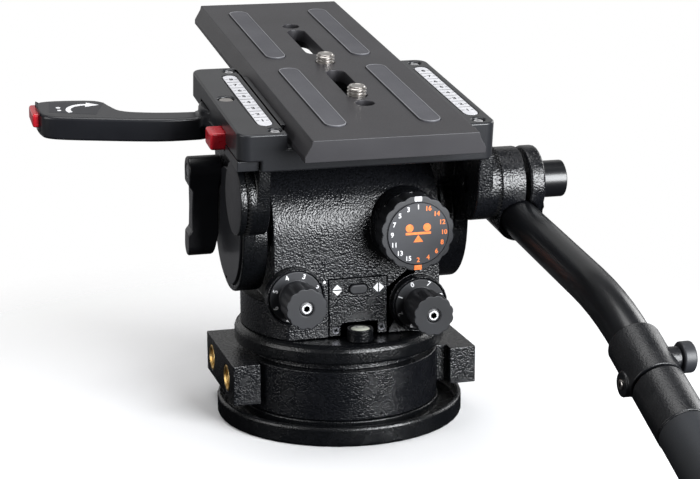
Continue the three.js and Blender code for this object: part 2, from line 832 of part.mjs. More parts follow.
// Inside the drum: bearings at both ends, the drag pack on the left and the spring on the right
const drumInside = drumBore - seatGap;
const bearingOuter = bodyHalfWidth - bearingInset;
const bearingInner = bearingOuter - bearingWidth;
const axleHole = axleRadius + seatGap;
piece(panning, 'tilt_bearing_left',
  sleeve(drumInside, axleHole, -bearingOuter, -bearingInner, hiddenSteps, 'x'), finish.steel(),
  [0, 0, tiltAxisHeight]);
piece(panning, 'tilt_bearing_right',
  sleeve(drumInside, axleHole, bearingInner, bearingOuter, hiddenSteps, 'x'), finish.steel(),
  [0, 0, tiltAxisHeight]);
piece(panning, 'tilt_drag_pack',
  sleeve(drumInside, packBore, seatGap - bearingInner, dragPackLength - bearingInner, hiddenSteps, 'x'),
  finish.steel(), [0, 0, tiltAxisHeight]);
piece(panning, 'counterbalance_spring',
  sleeve(springRadius, springBore, bearingInner - springLength, bearingInner - seatGap, hiddenSteps, 'x'),
  finish.steel(), [0, 0, tiltAxisHeight]);

// The tilting platform, in a frame that stands on the tilt axis
const tilting = new THREE.Group();
tilting.position.set(0, 0, tiltAxisHeight);
tilting.rotation.x = tiltAngle;
panning.add(tilting);

// Half of the plate's section, from its middle to one edge
function plateSection(growth) {
  return [
    [plateTopHalf + growth, plateTop],
    [plateShoulderHalf + growth, plateShoulder],
    [plateFlangeHalf + growth, plateFlangeTop],
    [plateFlangeHalf + growth, plateBottom - growth],
  ];
}

// Where the plate's sloping flank stands at a height
function flankAt(height) {
  const share = (height - plateFlangeTop) / (plateShoulder - plateFlangeTop);
  return plateFlangeHalf + (plateShoulderHalf - plateFlangeHalf) * share;
}

function makePlatform() {
  const outline = roundedBox(platformLeft, platformRight, platformFront, platformBack, platformCorner);
  const mass = slab(outline, 'z', platformBottom, platformTop);
  const rightEdge = plateFlangeHalf + seatGap;
  const openEdge = flankAt(platformTop) + seatGap;
  const topEdge = platformTop + overrun;
  const channel = slab([
    [channelLeft, channelFloor],
    [rightEdge, channelFloor],
    [rightEdge, plateFlangeTop],
    [openEdge, platformTop],
    [openEdge, topEdge],
    [channelLeft, topEdge],
  ], 'y', platformFront - overrun, platformBack + overrun);
  const jawPocket = block(
    [jawOuter - jawTravel - seatGap, jawFront - seatGap, channelFloor],
    [channelLeft + overrun, jawBack + seatGap, jawTop + seatGap],
  );
  const underside = block(
    [undersideLeft, undersideFront, platformBottom - overrun],
    [cheekInner + seatGap, undersideBack, undersideFloor],
  );
  const coverSpace = block(
    [platformLeft - overrun, platformFront - overrun, platformBottom - overrun],
    [coverRight, coverBack, coverTop],
  );
  const swingSpace = block(
    [platformLeft - overrun, coverBack - overrun, platformBottom - overrun],
    [coverRight, platformBack + overrun, coverTop],
  );
  const discSpace = rod('z', leverDiscRadius + seatGap, platformBottom - overrun, leverDiscTop + seatGap,
    [leverX, leverY], smoothSteps);
  const buttonSpace = block(
    [platformLeft - overrun, releaseFrontY - seatGap, releaseBottom - seatGap],
    [releaseInner + releaseTravel + seatGap, releaseBackY + seatGap, releaseTop + seatGap],
  );
  const strips = [stripLeftX, stripRightX].map((x) => stripSlab(x, seatGap, topEdge));
  const pockets = [pocketLeftX, stripRightX].flatMap((x) => stripEnds().map((y) => (
    rod('z', pocketRadius, platformTop - pocketDepth, topEdge, [x, y])
  )));
  const pinRecess = rod('z', pinRecessRadius, platformTop - pinDepth - seatGap, topEdge, [pinX, pinY]);
  return cut(mass, channel, jawPocket, underside, coverSpace, swingSpace, discSpace, buttonSpace,
    ...strips, ...pockets, pinRecess);
}

// Where the screws past the two ends of a strip are
function stripEnds() {
  return [stripFront - pocketOffset, stripBack + pocketOffset];
}

// A scale strip's round-ended slab, or the pocket for it when it is grown
function stripSlab(x, growth, top) {
  const half = stripWidth / 2;
  const outline = belt([x, stripFront + half, half + growth], [x, stripBack - half, half + growth], 8);
  const bottom = platformTop - stripSink - stripThickness - growth;
  return slab(outline, 'z', bottom, top);
}

function makeCover() {
  const mass = block(
    [platformLeft, platformFront + platformCorner / 2, platformBottom],
    [coverRight - seatGap, coverBack - seatGap, coverTop - seatGap],
  );
  const space = block(
    [platformLeft - overrun, releaseFrontY - seatGap, releaseBottom - seatGap],
    [coverRight + overrun, releaseBackY + seatGap, coverTop + overrun],
  );
  return cut(mass, space);
}

piece(tilting, 'platform', makePlatform(), finish.anodised());
piece(tilting, 'platform_cover', makeCover(), finish.grainedBlack());
piece(tilting, 'release_button',
  block([releaseOuter, releaseFrontY, releaseBottom], [releaseInner, releaseBackY, releaseTop]),
  finish.red());
piece(tilting, 'scale_strip_left', stripSlab(stripLeftX, 0, platformTop - stripSink), finish.white());
piece(tilting, 'scale_strip_right', stripSlab(stripRightX, 0, platformTop - stripSink), finish.white());
piece(tilting, 'platform_pin', rod('z', pinRadius, -pinDepth, -pinSink), finish.steel(),
  [pinX, pinY, platformTop]);

function makeJaw() {
  return slab([
    [jawOuter, plateBottom],
    [-plateFlangeHalf - seatGap, plateBottom],
    [-plateFlangeHalf - seatGap, plateFlangeTop],
    [-flankAt(jawTop) - seatGap, jawTop],
    [jawOuter, jawTop],
  ], 'y', jawFront, jawBack);
}

piece(tilting, 'clamp_jaw', makeJaw(), finish.satinBlack());

// The camera plate slides along the channel
const sliding = new THREE.Group();
tilting.add(sliding);
const plateMiddle = plateFront + plateLength / 2;

function platePlace(offset) {
  return plateMiddle + offset;
}

function slotCut(from, to) {
  const upper = belt([0, platePlace(from) + slotHalfWidth, slotHalfWidth],
    [0, platePlace(to) - slotHalfWidth, slotHalfWidth], 8);
  const under = belt([0, platePlace(from) + slotHalfWidth, slotUnderHalfWidth],
    [0, platePlace(to) - slotHalfWidth, slotUnderHalfWidth], 8);
  return join(
    slab(upper, 'z', plateBottom - overrun, plateTop + overrun),
    slab(under, 'z', plateBottom - overrun, plateBottom + slotUnderDepth),
  );
}

function padSlab(side, end, growth, from, to) {
  const near = padInner + padHalfWidth;
  const far = padOuter - padHalfWidth;
  const radius = padHalfWidth + growth;
  const [a, b] = end > 0 ? [near, far] : [-far, -near];
  const outline = belt([side * padX, platePlace(a), radius], [side * padX, platePlace(b), radius], 8);
  return slab(outline, 'z', from, to);
}

const padCorners = [[-1, -1], [-1, 1], [1, -1], [1, 1]];

function makePlate() {
  const half = plateSection(0);
  const mirrored = half.map(([x, z]) => [-x, z]).reverse();
  const mass = slab([...half, ...mirrored], 'y', plateFront, plateFront + plateLength);
  const pockets = padCorners.map(([side, end]) => padSlab(side, end, seatGap,
    plateTop - padSink - seatGap, plateTop + overrun));
  const holes = [-plateHoleOffset, plateHoleOffset].map((offset) => rod('z', plateHoleRadius,
    plateBottom - overrun, plateTop + overrun, [0, platePlace(offset)]));
  const screwHole = rod('z', slotHalfWidth, plateBottom - overrun, plateTop + overrun, [0, plateMiddle]);
  const screwWell = rod('z', slotUnderHalfWidth, plateBottom - overrun, plateBottom + slotUnderDepth,
    [0, plateMiddle]);
  return cut(mass, slotCut(slotInner, frontSlotOuter), slotCut(-rearSlotOuter, -slotInner),
    ...pockets, ...holes, screwHole, screwWell);
}

function makeCameraScrew() {
  const headBottom = plateBottom + seatGap;
  const headTop = headBottom + cameraScrewHeadHeight;
  const top = plateTop + cameraScrewProud;
  return turned([
    [0, headBottom],
    [cameraScrewHeadRadius, headBottom],
    [cameraScrewHeadRadius, headTop],
    [cameraScrewRadius, headTop],
    [cameraScrewRadius, top],
    [0, top],
  ], smallSteps);
}

piece(sliding, 'camera_plate', makePlate(), finish.anodised());
for (const [side, end] of padCorners) {
  const name = `plate_pad_${side < 0 ? 'left' : 'right'}_${end < 0 ? 'rear' : 'front'}`;
  piece(sliding, name, padSlab(side, end, 0, plateTop - padSink, plateTop + padProud), finish.pad());
}
piece(sliding, 'camera_screw_front', makeCameraScrew(), finish.steel(), [0, plateMiddle, 0]);
piece(sliding, 'camera_screw_rear', makeCameraScrew(), finish.steel(), [0, platePlace(-rearScrewOffset), 0]);

// Release lever. Its outline is a chain of places: how far along the arm from the pivot,
// as a share of the arm's reach, and how far across, as a share of its spread.
const cornerShares = [0.25, 0.75];
const leverOutlineShares = [
  [0.125, 0.012], [0.266, 0], [0.39, 0.007], [0.558, 0.081], [0.715, 0.164], [0.88, 0.254], [0.98, 0.335],
  [1.02, 0.45], [1.03, 0.83], [1, 1], [0.75, 0.967], [0.652, 0.881], [0.62, 0.644], [0.582, 0.439],
  [0.432, 0.333], [0.247, 0.278], [0.125, 0.287],
];

// Cuts every corner of an outline off at a quarter of its two edges
function softened(outline) {
  return outline.flatMap(([x, y], i) => {
    const [nextX, nextY] = outline[(i + 1) % outline.length];
    return cornerShares.map((share) => [x + (nextX - x) * share, y + (nextY - y) * share]);
  });
}

function makeLever() {
  const outline = leverOutlineShares.map(([along, across]) => [-leverReach * along, leverRootY - leverY
    + leverSpread * across]);
  const arm = slab(softened(softened(outline)), 'z', leverBottom, leverTop);
  const disc = rod('z', leverDiscRadius, platformBottom + seatGap, leverDiscTop, [0, 0], smoothSteps);
  const tipFloor = leverTipSink + leverTipTravel - leverReach;
  const tipSpace = block(
    [-leverReach - leverTipReach - overrun, leverTipFront - leverY - seatGap, leverTipBottom - seatGap],
    [tipFloor + seatGap, leverTipBack - leverY + seatGap, leverTipTop + seatGap],
  );
  return cut(join(arm, disc), tipSpace);
}

function makeLeverTip() {
  return block(
    [-leverReach - leverTipReach, leverTipFront - leverY, leverTipBottom],
    [leverTipSink - leverReach, leverTipBack - leverY, leverTipTop],
  );
}

const lever = new THREE.Group();
lever.position.set(leverX, leverY, 0);
tilting.add(lever);
piece(lever, 'release_lever', makeLever(), finish.satinBlack());
piece(lever, 'lever_tip_button', makeLeverTip(), finish.red());

// Cheeks: side is -1 on the left and 1 on the right
function sideSlab(outline, side, near, far) {
  return side < 0 ? slab(outline, 'x', -far, -near) : slab(outline, 'x', near, far);
}

function sideRod(radius, side, near, far, centre = [0, 0], steps = knobSteps) {
  return side < 0 ? rod('x', radius, -far, -near, centre, steps) : rod('x', radius, near, far, centre, steps);
}

function makeCheek(side) {
  const top = platformBottom - seatGap;
  const outer = cheekFace(side);
  const rosetteFace = side < 0 ? rosetteLeftFace : rosetteRightFace;
  const front = rosetteY - rosetteRadius;
  const web = sideSlab([
    [front, top],
    [front, rosetteZ],
    [rosetteY, rosetteZ],
    [rosetteY, rosetteZ - cheekFillet],
    [-cheekDiscRadius, rosetteZ - rosetteRadius - cheekFillet],
    [-cheekDiscRadius, 0],
    [0, 0],
    [cheekSpan, cheekBackFoot - cheekSpan],
    [cheekBack, cheekBackFoot],
    [cheekBack, top],
  ], side, cheekArmInner, outer);
  const innerWeb = sideSlab([
    [cheekInnerFront, top],
    [cheekInnerFront, -cheekInnerFront],
    [0, 0],
    [cheekSpan, cheekBackFoot - cheekSpan],
    [cheekBack, cheekBackFoot],
    [cheekBack, top],
  ], side, cheekInner, cheekArmInner + overrun);
  const disc = sideRod(cheekDiscRadius, side, cheekInner, outer, [0, 0], smoothSteps);
  const boss = sideRod(rosetteRadius, side, cheekArmInner, rosetteFace, [rosetteY, rosetteZ]);
  const axleBore = sideRod(axleRadius + seatGap, side, cheekInner - overrun, outer + overrun);
  const wellRadius = coverDiscRadius + seatGap;
  const coverWell = sideRod(wellRadius, side, coverFloor(outer), outer + overrun, [0, 0], smoothSteps);
  const mass = cut(join(web, innerWeb, disc), coverWell);
  const bolt = sideRod(rosetteBolt, side, cheekArmInner - overrun, rosetteFace + overrun,
    [rosetteY, rosetteZ], smallSteps);
  return cut(join(mass, cut(boss, sideRod(coverDiscRadius + seatGap, side, coverFloor(outer), outer))),
    axleBore, bolt);
}

// Where the well for a cheek's cover disc ends
function coverFloor(outer) {
  return outer + coverDiscProud - coverDiscDepth - seatGap;
}

function cheekFace(side) {
  return side < 0 ? cheekOuter : cheekRightOuter;
}

function makeCheekCover(side) {
  const outer = cheekFace(side);
  const back = coverFloor(outer) + seatGap;
  const disc = sideRod(coverDiscRadius, side, back, outer + coverDiscProud, [0, 0], smoothSteps);
  const notch = sideRod(coverNotchRadius, side, cheekInner, outer + coverDiscProud + overrun,
    [0, -coverDiscRadius], smallSteps);
  return cut(disc, notch);
}

piece(tilting, 'cheek_right', makeCheek(1), finish.grainedBlack());
piece(tilting, 'cheek_cover_right', makeCheekCover(1), finish.satinBlack());
piece(tilting, 'cheek_cover_left', cut(makeCheekCover(-1), tiltLockClearance()), finish.satinBlack());
piece(tilting, 'cheek_left', cut(makeCheek(-1), rod('x', tiltLockStemRadius + seatGap,
  -cheekOuter - overrun, overrun - cheekInner, [tiltLockY, tiltLockZ])), finish.grainedBlack());
piece(tilting, 'rosette_cap', sideRod(rosetteRadius, -1, seatGap, rosetteCapDepth), finish.knobGrey(),
  [-rosetteLeftFace, rosetteY, rosetteZ]);
piece(tilting, 'tilt_axle', rod('x', axleRadius, -axleHalfLength, axleHalfLength, [0, 0], knobSteps),
  finish.steel());

// Tilt lock lever: a hub on the left cheek with a waisted blade that hangs down, and its screw
function tiltLockClearance() {
  return rod('x', tiltLockHubRadius + seatGap, -cheekOuter - coverDiscProud - overrun, -cheekInner,
    [tiltLockY, tiltLockZ], knobSteps);
}

function makeTiltLock() {
  const inner = -cheekOuter - seatGap;
  const bladeInner = -cheekOuter - coverDiscProud - seatGap;
  const waistZ = -tiltLockLength / 2;
  const hub = rod('x', tiltLockHubRadius, tiltLockOuter, inner, [0, 0], knobSteps);
  const upperOutline = belt([0, 0, tiltLockHubRadius], [0, waistZ, tiltLockWaist]);
  const upper = slab(upperOutline, 'x', tiltLockOuter, bladeInner);
  const lower = slab(belt([0, waistZ, tiltLockWaist], [0, -tiltLockLength, tiltLockTipRadius]), 'x',
    tiltLockOuter, bladeInner);
  const relief = slab([
    [tiltLockTipInner, -tiltLockLength - tiltLockTipRadius - overrun],
    [tiltLockBladeInner, -tiltLockFoot],
    [tiltLockBladeInner, -tiltLockHubRadius],
    [bladeInner + seatGap, -tiltLockHubRadius],
    [bladeInner + seatGap, -tiltLockLength - tiltLockTipRadius - overrun],
  ], 'y', -tiltLockHubRadius - overrun, tiltLockHubRadius + overrun);
  const notch = slab([
    [tiltLockOuter - overrun, -tiltLockHubRadius],
    [tiltLockOuter - overrun, -tiltLockFoot],
    [tiltLockOuter, -tiltLockFoot],
    [tiltLockOuter + tiltLockNotch, tiltLockNotchSlope - tiltLockFoot],
    [tiltLockOuter + tiltLockNotch, -tiltLockNotchSlope - tiltLockHubRadius],
    [tiltLockOuter, -tiltLockHubRadius],
  ], 'y', -tiltLockHubRadius - overrun, tiltLockHubRadius + overrun);
  const bore = rod('x', tiltLockStemRadius + seatGap, tiltLockOuter - overrun, inner + overrun);
  return cut(join(hub, upper, lower), relief, notch, bore);
}

piece(tilting, 'tilt_lock_lever', makeTiltLock(), finish.satinBlack(), [0, tiltLockY, tiltLockZ]);
piece(tilting, 'tilt_lock_screw', rod('x', tiltLockStemRadius, tiltLockOuter + seatGap, -cheekInner),
  finish.steel(), [0, tiltLockY, tiltLockZ]);

// The handle turns on the right rosette. Its group stands level, whatever the platform's tilt.
const handle = new THREE.Group();
handle.position.set(0, rosetteY, rosetteZ);
handle.rotation.x = -tiltAngle;
tilting.add(handle);

// A rod along the tube's first straight, measured along Y from the rosette axis
function alongTube(radius, from, to) {
  const geometry = new THREE.CylinderGeometry(radius, radius, to - from, knobSteps);
  geometry.translate(0, (from + to) / 2, 0).rotateX(tubeFirstSlope).translate(tubeX, 0, -tubeDrop);
  return solid(geometry);
}

function makeClampHalf(from, to) {
  const barrel = rod('x', clampRadius, from, to, [0, 0], knobSteps);
  const whole = alongTube(clampSleeveRadius, clampSleeveFront, clampSleeveBack);
  const reach = clampRadius * 2;
  const slice = block([from, -reach, -reach], [to, reach, reach]);
  const bore = alongTube(tubeRadius + seatGap, -reach, reach);
  const bolt = rod('x', rosetteBolt, from - overrun, to + overrun);
  return cut(join(barrel, whole.intersect(slice)), bore, bolt);
}

function makeLockKnob() {
  const washerStart = clampOuterEnd + seatGap;
  const washerEnd = washerStart + lockKnobWasherDepth;
  const bolt = rod('x', lockKnobBolt, lockKnobBoltInner, washerStart + overrun);
  const washer = rod('x', lockKnobWasher, washerStart, washerEnd, [0, 0], knobSteps);
  const knob = rod('x', lockKnobRadius, washerEnd - overrun, lockKnobEnd, [0, 0], knobSteps);
  const socket = rod('x', lockKnobSocket, lockKnobEnd - lockKnobSocketDepth, lockKnobEnd + overrun);
  return cut(join(bolt, washer, knob), socket);
}

// The tube's centre line: a straight, a bend and a straight that ends inside the grip
function tubePoint(along, slope, start) {
  return new THREE.Vector3(0, start.y - along * Math.cos(slope), start.z - along * Math.sin(slope));
}

const tubeStart = new THREE.Vector3(0, tubeBackReach, -tubeDrop + tubeBackReach * Math.tan(tubeFirstSlope));
const tubeKnee = new THREE.Vector3(0, -tubeBend, -tubeDrop - tubeBend * Math.tan(tubeFirstSlope));
const bendStart = tubePoint(-tubeBendLength, tubeFirstSlope, tubeKnee);
const bendEnd = tubePoint(tubeBendLength, tubeSecondSlope, tubeKnee);
const tubeEnd = tubePoint(tubeTailLength, tubeSecondSlope, bendEnd);

function tubeSolid(radius, extra) {
  const bend = new THREE.QuadraticBezierCurve3(bendStart, tubeKnee, bendEnd);
  const points = bend.getPoints(tubeBendSteps);
  points[0] = tubePoint(-extra, tubeFirstSlope, tubeStart);
  points.splice(1, 0, bendStart);
  points[points.length - 1] = bendEnd;
  points.push(tubePoint(extra, tubeSecondSlope, tubeEnd));
  return sweep(points, radius);
}

// A round tube body swept along points in the upright plane, one ring of points at each
function sweep(points, radius) {
  const rings = points.map((point, i) => {
    const before = points[Math.max(i - 1, 0)];
    const after = points[Math.min(i + 1, points.length - 1)];
    const way = new THREE.Vector3().subVectors(after, before).normalize();
    const up = new THREE.Vector3(0, -way.z, way.y);
    return { point, up };
  });
  const vertices = [];
  const index = [];
  for (const { point, up } of rings) {
    for (let i = 0; i < tubeSteps; i += 1) {
      const angle = (2 * Math.PI * i) / tubeSteps;
      const place = point.clone().addScaledVector(up, radius * Math.sin(angle));
      place.x += radius * Math.cos(angle);
      vertices.push(place.x, place.y, place.z);
    }
  }
  const last = (rings.length - 1) * tubeSteps;
  for (let r = 0; r < last; r += tubeSteps) {
    for (let i = 0; i < tubeSteps; i += 1) {
      const next = (i + 1) % tubeSteps;
      index.push(r + i, r + next, r + tubeSteps + next, r + i, r + tubeSteps + next, r + tubeSteps + i);
    }
  }
  for (let i = 1; i < tubeSteps - 1; i += 1) {
    index.push(0, i + 1, i, last, last + i, last + i + 1);
  }
  const geometry = new THREE.BufferGeometry();
  geometry.setAttribute('position', new THREE.Float32BufferAttribute(vertices, 3));
  geometry.setIndex(index);
  return solid(geometry);
}

piece(handle, 'handle_clamp_inner', makeClampHalf(rosetteRightFace + seatGap, clampInnerEnd),
  finish.grainedBlack());
piece(handle, 'handle_clamp_outer', makeClampHalf(clampOuterStart, clampOuterEnd), finish.grainedBlack());
piece(handle, 'handle_lock_knob', makeLockKnob(), finish.satinBlack());
piece(handle, 'handle_tube', cut(tubeSolid(tubeRadius, 0), tubeSolid(tubeBore, overrun)), finish.satinBlack(),
  [tubeX, 0, 0]);

// The grip slides on the tube's straight end. In its group -Y runs along the tube.
const grip = new THREE.Group();
grip.position.set(tubeX, bendEnd.y, bendEnd.z);
grip.rotation.x = tubeSecondSlope;
handle.add(grip);

function makeCollar() {
  const start = -collarStart;
  const end = start - collarLength;
  const ring = rod('y', collarRadius, end, start, [0, 0], knobSteps);
  const boss = rod('x', collarBossRadius, 0, collarBossReach, [-collarKnobY, collarKnobLift], knobSteps);
  const lug = rod('x', collarLugRadius, -collarLugReach, collarLugWidth - collarLugReach,
    [-collarLugY, collarLugLift], knobSteps);
  const bore = rod('y', tubeRadius + seatGap, end - overrun, start + overrun, [0, 0], knobSteps);
  const holeEnd = collarBossReach + overrun;
  const stemHole = rod('x', collarKnobStem + seatGap, 0, holeEnd, [-collarKnobY, collarKnobLift]);
  return cut(join(ring, boss, lug), bore, stemHole);
}

function makeCollarKnob() {
  return join(
    rod('x', collarKnobStem, -collarKnobStemLength, overrun),
    rod('x', collarKnobRadius, seatGap, collarKnobLength, [0, 0], knobSteps),
  );
}

const ferruleStart = -collarStart - collarLength - collarSplit;
const rubberStart = ferruleStart - ferruleLength;

function makeGripTube() {
  const bore = tubeRadius + seatGap;
  const end = ferruleStart - gripTubeLength;
  const joined = -collarStart - collarLength - seatGap;
  return turned([
    [bore, joined],
    [gripTubeRadius, joined],
    [gripTubeRadius, ferruleStart],
    [collarRadius, ferruleStart],
    [collarRadius, rubberStart],
    [gripTubeRadius, rubberStart],
    [gripTubeRadius, end],
    [bore, end],
    [bore, joined],
  ], knobSteps, 'y');
}

function makeRubberGrip() {
  const start = rubberStart - seatGap;
  const bore = gripTubeRadius + seatGap;
  const end = start - rubberLength - rubberCapThickness;
  return turned([
    [bore, start],
    [rubberRadius, start],
    [rubberRadius, end + rubberRadius - bore],
    [bore, end],
    [0, end],
    [0, end + rubberCapThickness],
    [bore, end + rubberCapThickness],
    [bore, start],
  ], knobSteps, 'y');
}

piece(grip, 'grip_collar', makeCollar(), finish.grainedBlack());
piece(grip, 'grip_collar_knob', makeCollarKnob(), finish.satinBlack(),
  [collarBossReach, -collarKnobY, collarKnobLift]);
piece(grip, 'grip_tube', makeGripTube(), finish.grainedBlack());
piece(grip, 'handle_grip', makeRubberGrip(), finish.rubber());

export default head;
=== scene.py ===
# %% [markdown]
# # Finishing a fluid video head in Blender
# The solids of this head come from a CAD model, already at their true size and place.
# Here each one gets the surface of the real thing: rounded edges, grained paint, anodising,
# screws, threads, teeth and printed scales. Every value is in millimetres until a piece is
# placed, because that is how a maker reads a drawing.

# %% Load the frame
import bmesh
import bpy
import json
import math
from mathutils import Matrix, Vector
from mathutils.bvhtree import BVHTree

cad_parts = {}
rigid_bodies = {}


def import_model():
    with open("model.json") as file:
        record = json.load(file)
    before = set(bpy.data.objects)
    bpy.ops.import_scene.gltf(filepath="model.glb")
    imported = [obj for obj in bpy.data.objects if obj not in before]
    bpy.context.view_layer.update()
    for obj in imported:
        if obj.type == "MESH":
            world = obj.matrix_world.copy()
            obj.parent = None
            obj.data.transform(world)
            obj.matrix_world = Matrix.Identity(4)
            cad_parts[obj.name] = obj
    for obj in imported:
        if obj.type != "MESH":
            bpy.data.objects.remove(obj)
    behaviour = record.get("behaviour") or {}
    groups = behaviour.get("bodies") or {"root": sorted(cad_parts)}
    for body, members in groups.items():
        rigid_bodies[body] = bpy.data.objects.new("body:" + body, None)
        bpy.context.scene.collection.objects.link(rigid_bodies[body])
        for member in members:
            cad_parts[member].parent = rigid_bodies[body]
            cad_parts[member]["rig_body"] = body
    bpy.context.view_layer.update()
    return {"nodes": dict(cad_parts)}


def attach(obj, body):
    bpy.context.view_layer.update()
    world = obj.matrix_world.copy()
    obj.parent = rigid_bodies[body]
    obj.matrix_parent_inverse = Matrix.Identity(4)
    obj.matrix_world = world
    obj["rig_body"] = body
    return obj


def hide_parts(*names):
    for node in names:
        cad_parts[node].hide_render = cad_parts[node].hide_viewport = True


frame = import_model()

# %% [markdown]
# ## Where things are
# A detail is easiest to place in the frame of the part that carries it. The tilting platform
# leans back by a few degrees, and the grip slopes down towards the operator, so each has a
# matrix that takes millimetres in its own frame to metres in the world.

# %% Frames of the parts
MM = 0.001
TILT_AXIS_HEIGHT, LEAN_BACK = 102, 7.67                 # millimetres, degrees
GRIP_START, GRIP_SLOPE = (76, -196.75, 86.48), 23.5     # where the tube's straight end starts


def moved(x, y, z):
    return Matrix.Translation((x, y, z))


def turned(axis, degrees):
    return Matrix.Rotation(math.radians(degrees), 4, axis)


HEAD = Matrix.Scale(MM, 4)
TILT = HEAD @ moved(0, 0, TILT_AXIS_HEIGHT) @ turned("X", LEAN_BACK)
GRIP = HEAD @ moved(*GRIP_START) @ turned("X", GRIP_SLOPE)
IN_PLACE = Matrix.Identity(4)
TO_FRONT = turned("X", 90)      # local +Z points at the operator
TO_LEFT = turned("Y", -90)      # local +Z points left
TO_RIGHT = turned("Y", 90)      # local +Z points right


def span(node, place=HEAD):
    """The lowest and highest corner of a CAD node in a part's own frame, in millimetres."""
    back = place.inverted()
    points = [back @ v.co for v in frame["nodes"][node].data.vertices]
    low = Vector(min(p[i] for p in points) for i in range(3))
    high = Vector(max(p[i] for p in points) for i in range(3))
    return low, high


print("camera plate in the platform's frame:", *span("camera_plate", TILT))

# %% [markdown]
# ## Colours and nodes
# Colours are picked as sRGB hex values, but a shader works in linear light, so one function
# converts them. Another one adds any node, sets it, and plugs its inputs.


# %% Colour and node helpers
def linear(hex_colour):
    values = [int(hex_colour[i:i + 2], 16) / 255 for i in (1, 3, 5)]
    curve = [v / 12.92 if v <= 0.04045 else ((v + 0.055) / 1.055) ** 2.4 for v in values]
    return (*curve, 1)


def node(tree, kind, inputs=None, **settings):
    made = tree.nodes.new(kind)
    for name, value in settings.items():
        setattr(made, name, value)
    for name, value in (inputs or {}).items():
        socket = made.inputs[name]
        if isinstance(value, bpy.types.NodeSocket):
            tree.links.new(value, socket)
        else:
            socket.default_value = value
    return made


def new_surface(name, **inputs):
    """A material with one shader. Its sockets take the values that are the same all over."""
    material = bpy.data.materials.new(name)
    material.use_nodes = True
    tree = material.node_tree
    tree.nodes.clear()
    shader = node(tree, "ShaderNodeBsdfPrincipled")
    for socket, value in inputs.items():
        shader.inputs[socket.replace("_", " ")].default_value = value
    node(tree, "ShaderNodeOutputMaterial", {"Surface": shader.outputs["BSDF"]})
    return material, tree, shader


def per_mm(size):
    """The scale of a texture whose features are this many millimetres across."""
    return 1 / (size * MM)


def speckle(tree, size, detail=2.0, roughness=0.5):
    place = node(tree, "ShaderNodeTexCoord").outputs["Object"]
    return node(tree, "ShaderNodeTexNoise", {
        "Vector": place, "Scale": per_mm(size), "Detail": detail, "Roughness": roughness,
    }).outputs["Fac"]


def spread(tree, value, low, high, low_from=0.3, high_from=0.7):
    return node(tree, "ShaderNodeMapRange", {
        "Value": value, "From Min": low_from, "From Max": high_from, "To Min": low, "To Max": high,
    }).outputs["Result"]


def blend(tree, value, low, high):
    return node(tree, "ShaderNodeMix", {"Factor": value, "A": low, "B": high},
                data_type="RGBA").outputs["Result"]


def tint(tree, shader, value, dark, light):
    colour = blend(tree, value, linear(dark), linear(light))
    tree.links.new(colour, shader.inputs["Base Color"])


def mottle(tree, shader, size, dark, light, detail=3.0):
    """Two close shades that drift into each other over this many millimetres."""
    tint(tree, shader, spread(tree, speckle(tree, size, detail), 0, 1), dark, light)


def roughen(tree, shader, value, low, high):
    tree.links.new(spread(tree, value, low, high), shader.inputs["Roughness"])


def relief(tree, shader, height, depth_mm):
    bump = node(tree, "ShaderNodeBump", {
        "Height": height, "Distance": depth_mm * MM, "Strength": 1.0,
    })
    tree.links.new(bump.outputs["Normal"], shader.inputs["Normal"])


print("a half-bright grey is", round(linear("#808080")[0], 3), "in linear light")

# %% [markdown]
# ## Grained powder coat on cast aluminium
# The body, ring, cheeks and clamp are castings with a wrinkled black powder coat. It looks like
# fine leather: glossy pebbles about a millimetre wide with creases between them, which are painted
# darker as painted shade, so a highlight breaks up into sparkles. A Voronoi pattern gives the
# pebbles, and noise bends it so that no cells line up. The true grain is near 0.6 mm, and it is
# drawn a little coarser here so that a small picture still shows it.


# %% Grained powder coat
BEND_SIZE, BEND_BY = 2, 0.45    # of a grain: how wide a bend is, and how far it moves a cell
CROWN, CREASE = 0.1, 0.8        # of a grain: the distance from its middle to top and bottom


def grained_coat(name, dark, light, grain, depth, roughness):
    material, tree, shader = new_surface(name, IOR=1.5, Metallic=0.0)
    place = node(tree, "ShaderNodeTexCoord").outputs["Object"]
    bend = node(tree, "ShaderNodeTexNoise", {
        "Vector": place, "Scale": per_mm(grain * BEND_SIZE), "Detail": 1.0})
    sway = node(tree, "ShaderNodeVectorMath", {0: bend.outputs["Color"]}, operation="SCALE")
    sway.inputs["Scale"].default_value = grain * BEND_BY * MM
    bent = node(tree, "ShaderNodeVectorMath", {0: place, 1: sway.outputs["Vector"]})
    cells = node(tree, "ShaderNodeTexVoronoi", {
        "Vector": bent.outputs["Vector"], "Scale": per_mm(grain), "Smoothness": 0.6,
    }, feature="SMOOTH_F1")
    pebble_height_and_shade = spread(tree, cells.outputs["Distance"], 1, 0, CROWN, CREASE)
    relief(tree, shader, pebble_height_and_shade, depth)
    # painted shade: the colour darkens from each pebble's top down into its creases
    tint(tree, shader, pebble_height_and_shade, dark, light)
    roughen(tree, shader, speckle(tree, 9), roughness - 0.04, roughness + 0.05)
    return material


# name, painted shade in a crease, colour of a pebble, grain and depth in mm, roughness
powder_coat = grained_coat("aluminium_grained_powder_coat", "#0A0B0D", "#1B1C20", 0.85, 0.17, 0.27)
smooth_coat = grained_coat("aluminium_turned_powder_coat", "#050607", "#0F1013", 0.8, 0.1, 0.26)
ring_coat = grained_coat("aluminium_ring_powder_coat", "#060709", "#131418", 0.82, 0.145, 0.26)
fine_coat = grained_coat("aluminium_fine_powder_coat", "#08090B", "#111216", 0.8, 0.06, 0.36)
print("made", powder_coat.name, smooth_coat.name, ring_coat.name, fine_coat.name)

# %% [markdown]
# ## Anodised aluminium
# The platform and the camera plate are milled from aluminium, blasted with fine grit and
# anodised dark grey. That gives a dead even satin face with a faint metallic sheen, so the
# grain is very fine and shallow, and the roughness hardly varies.


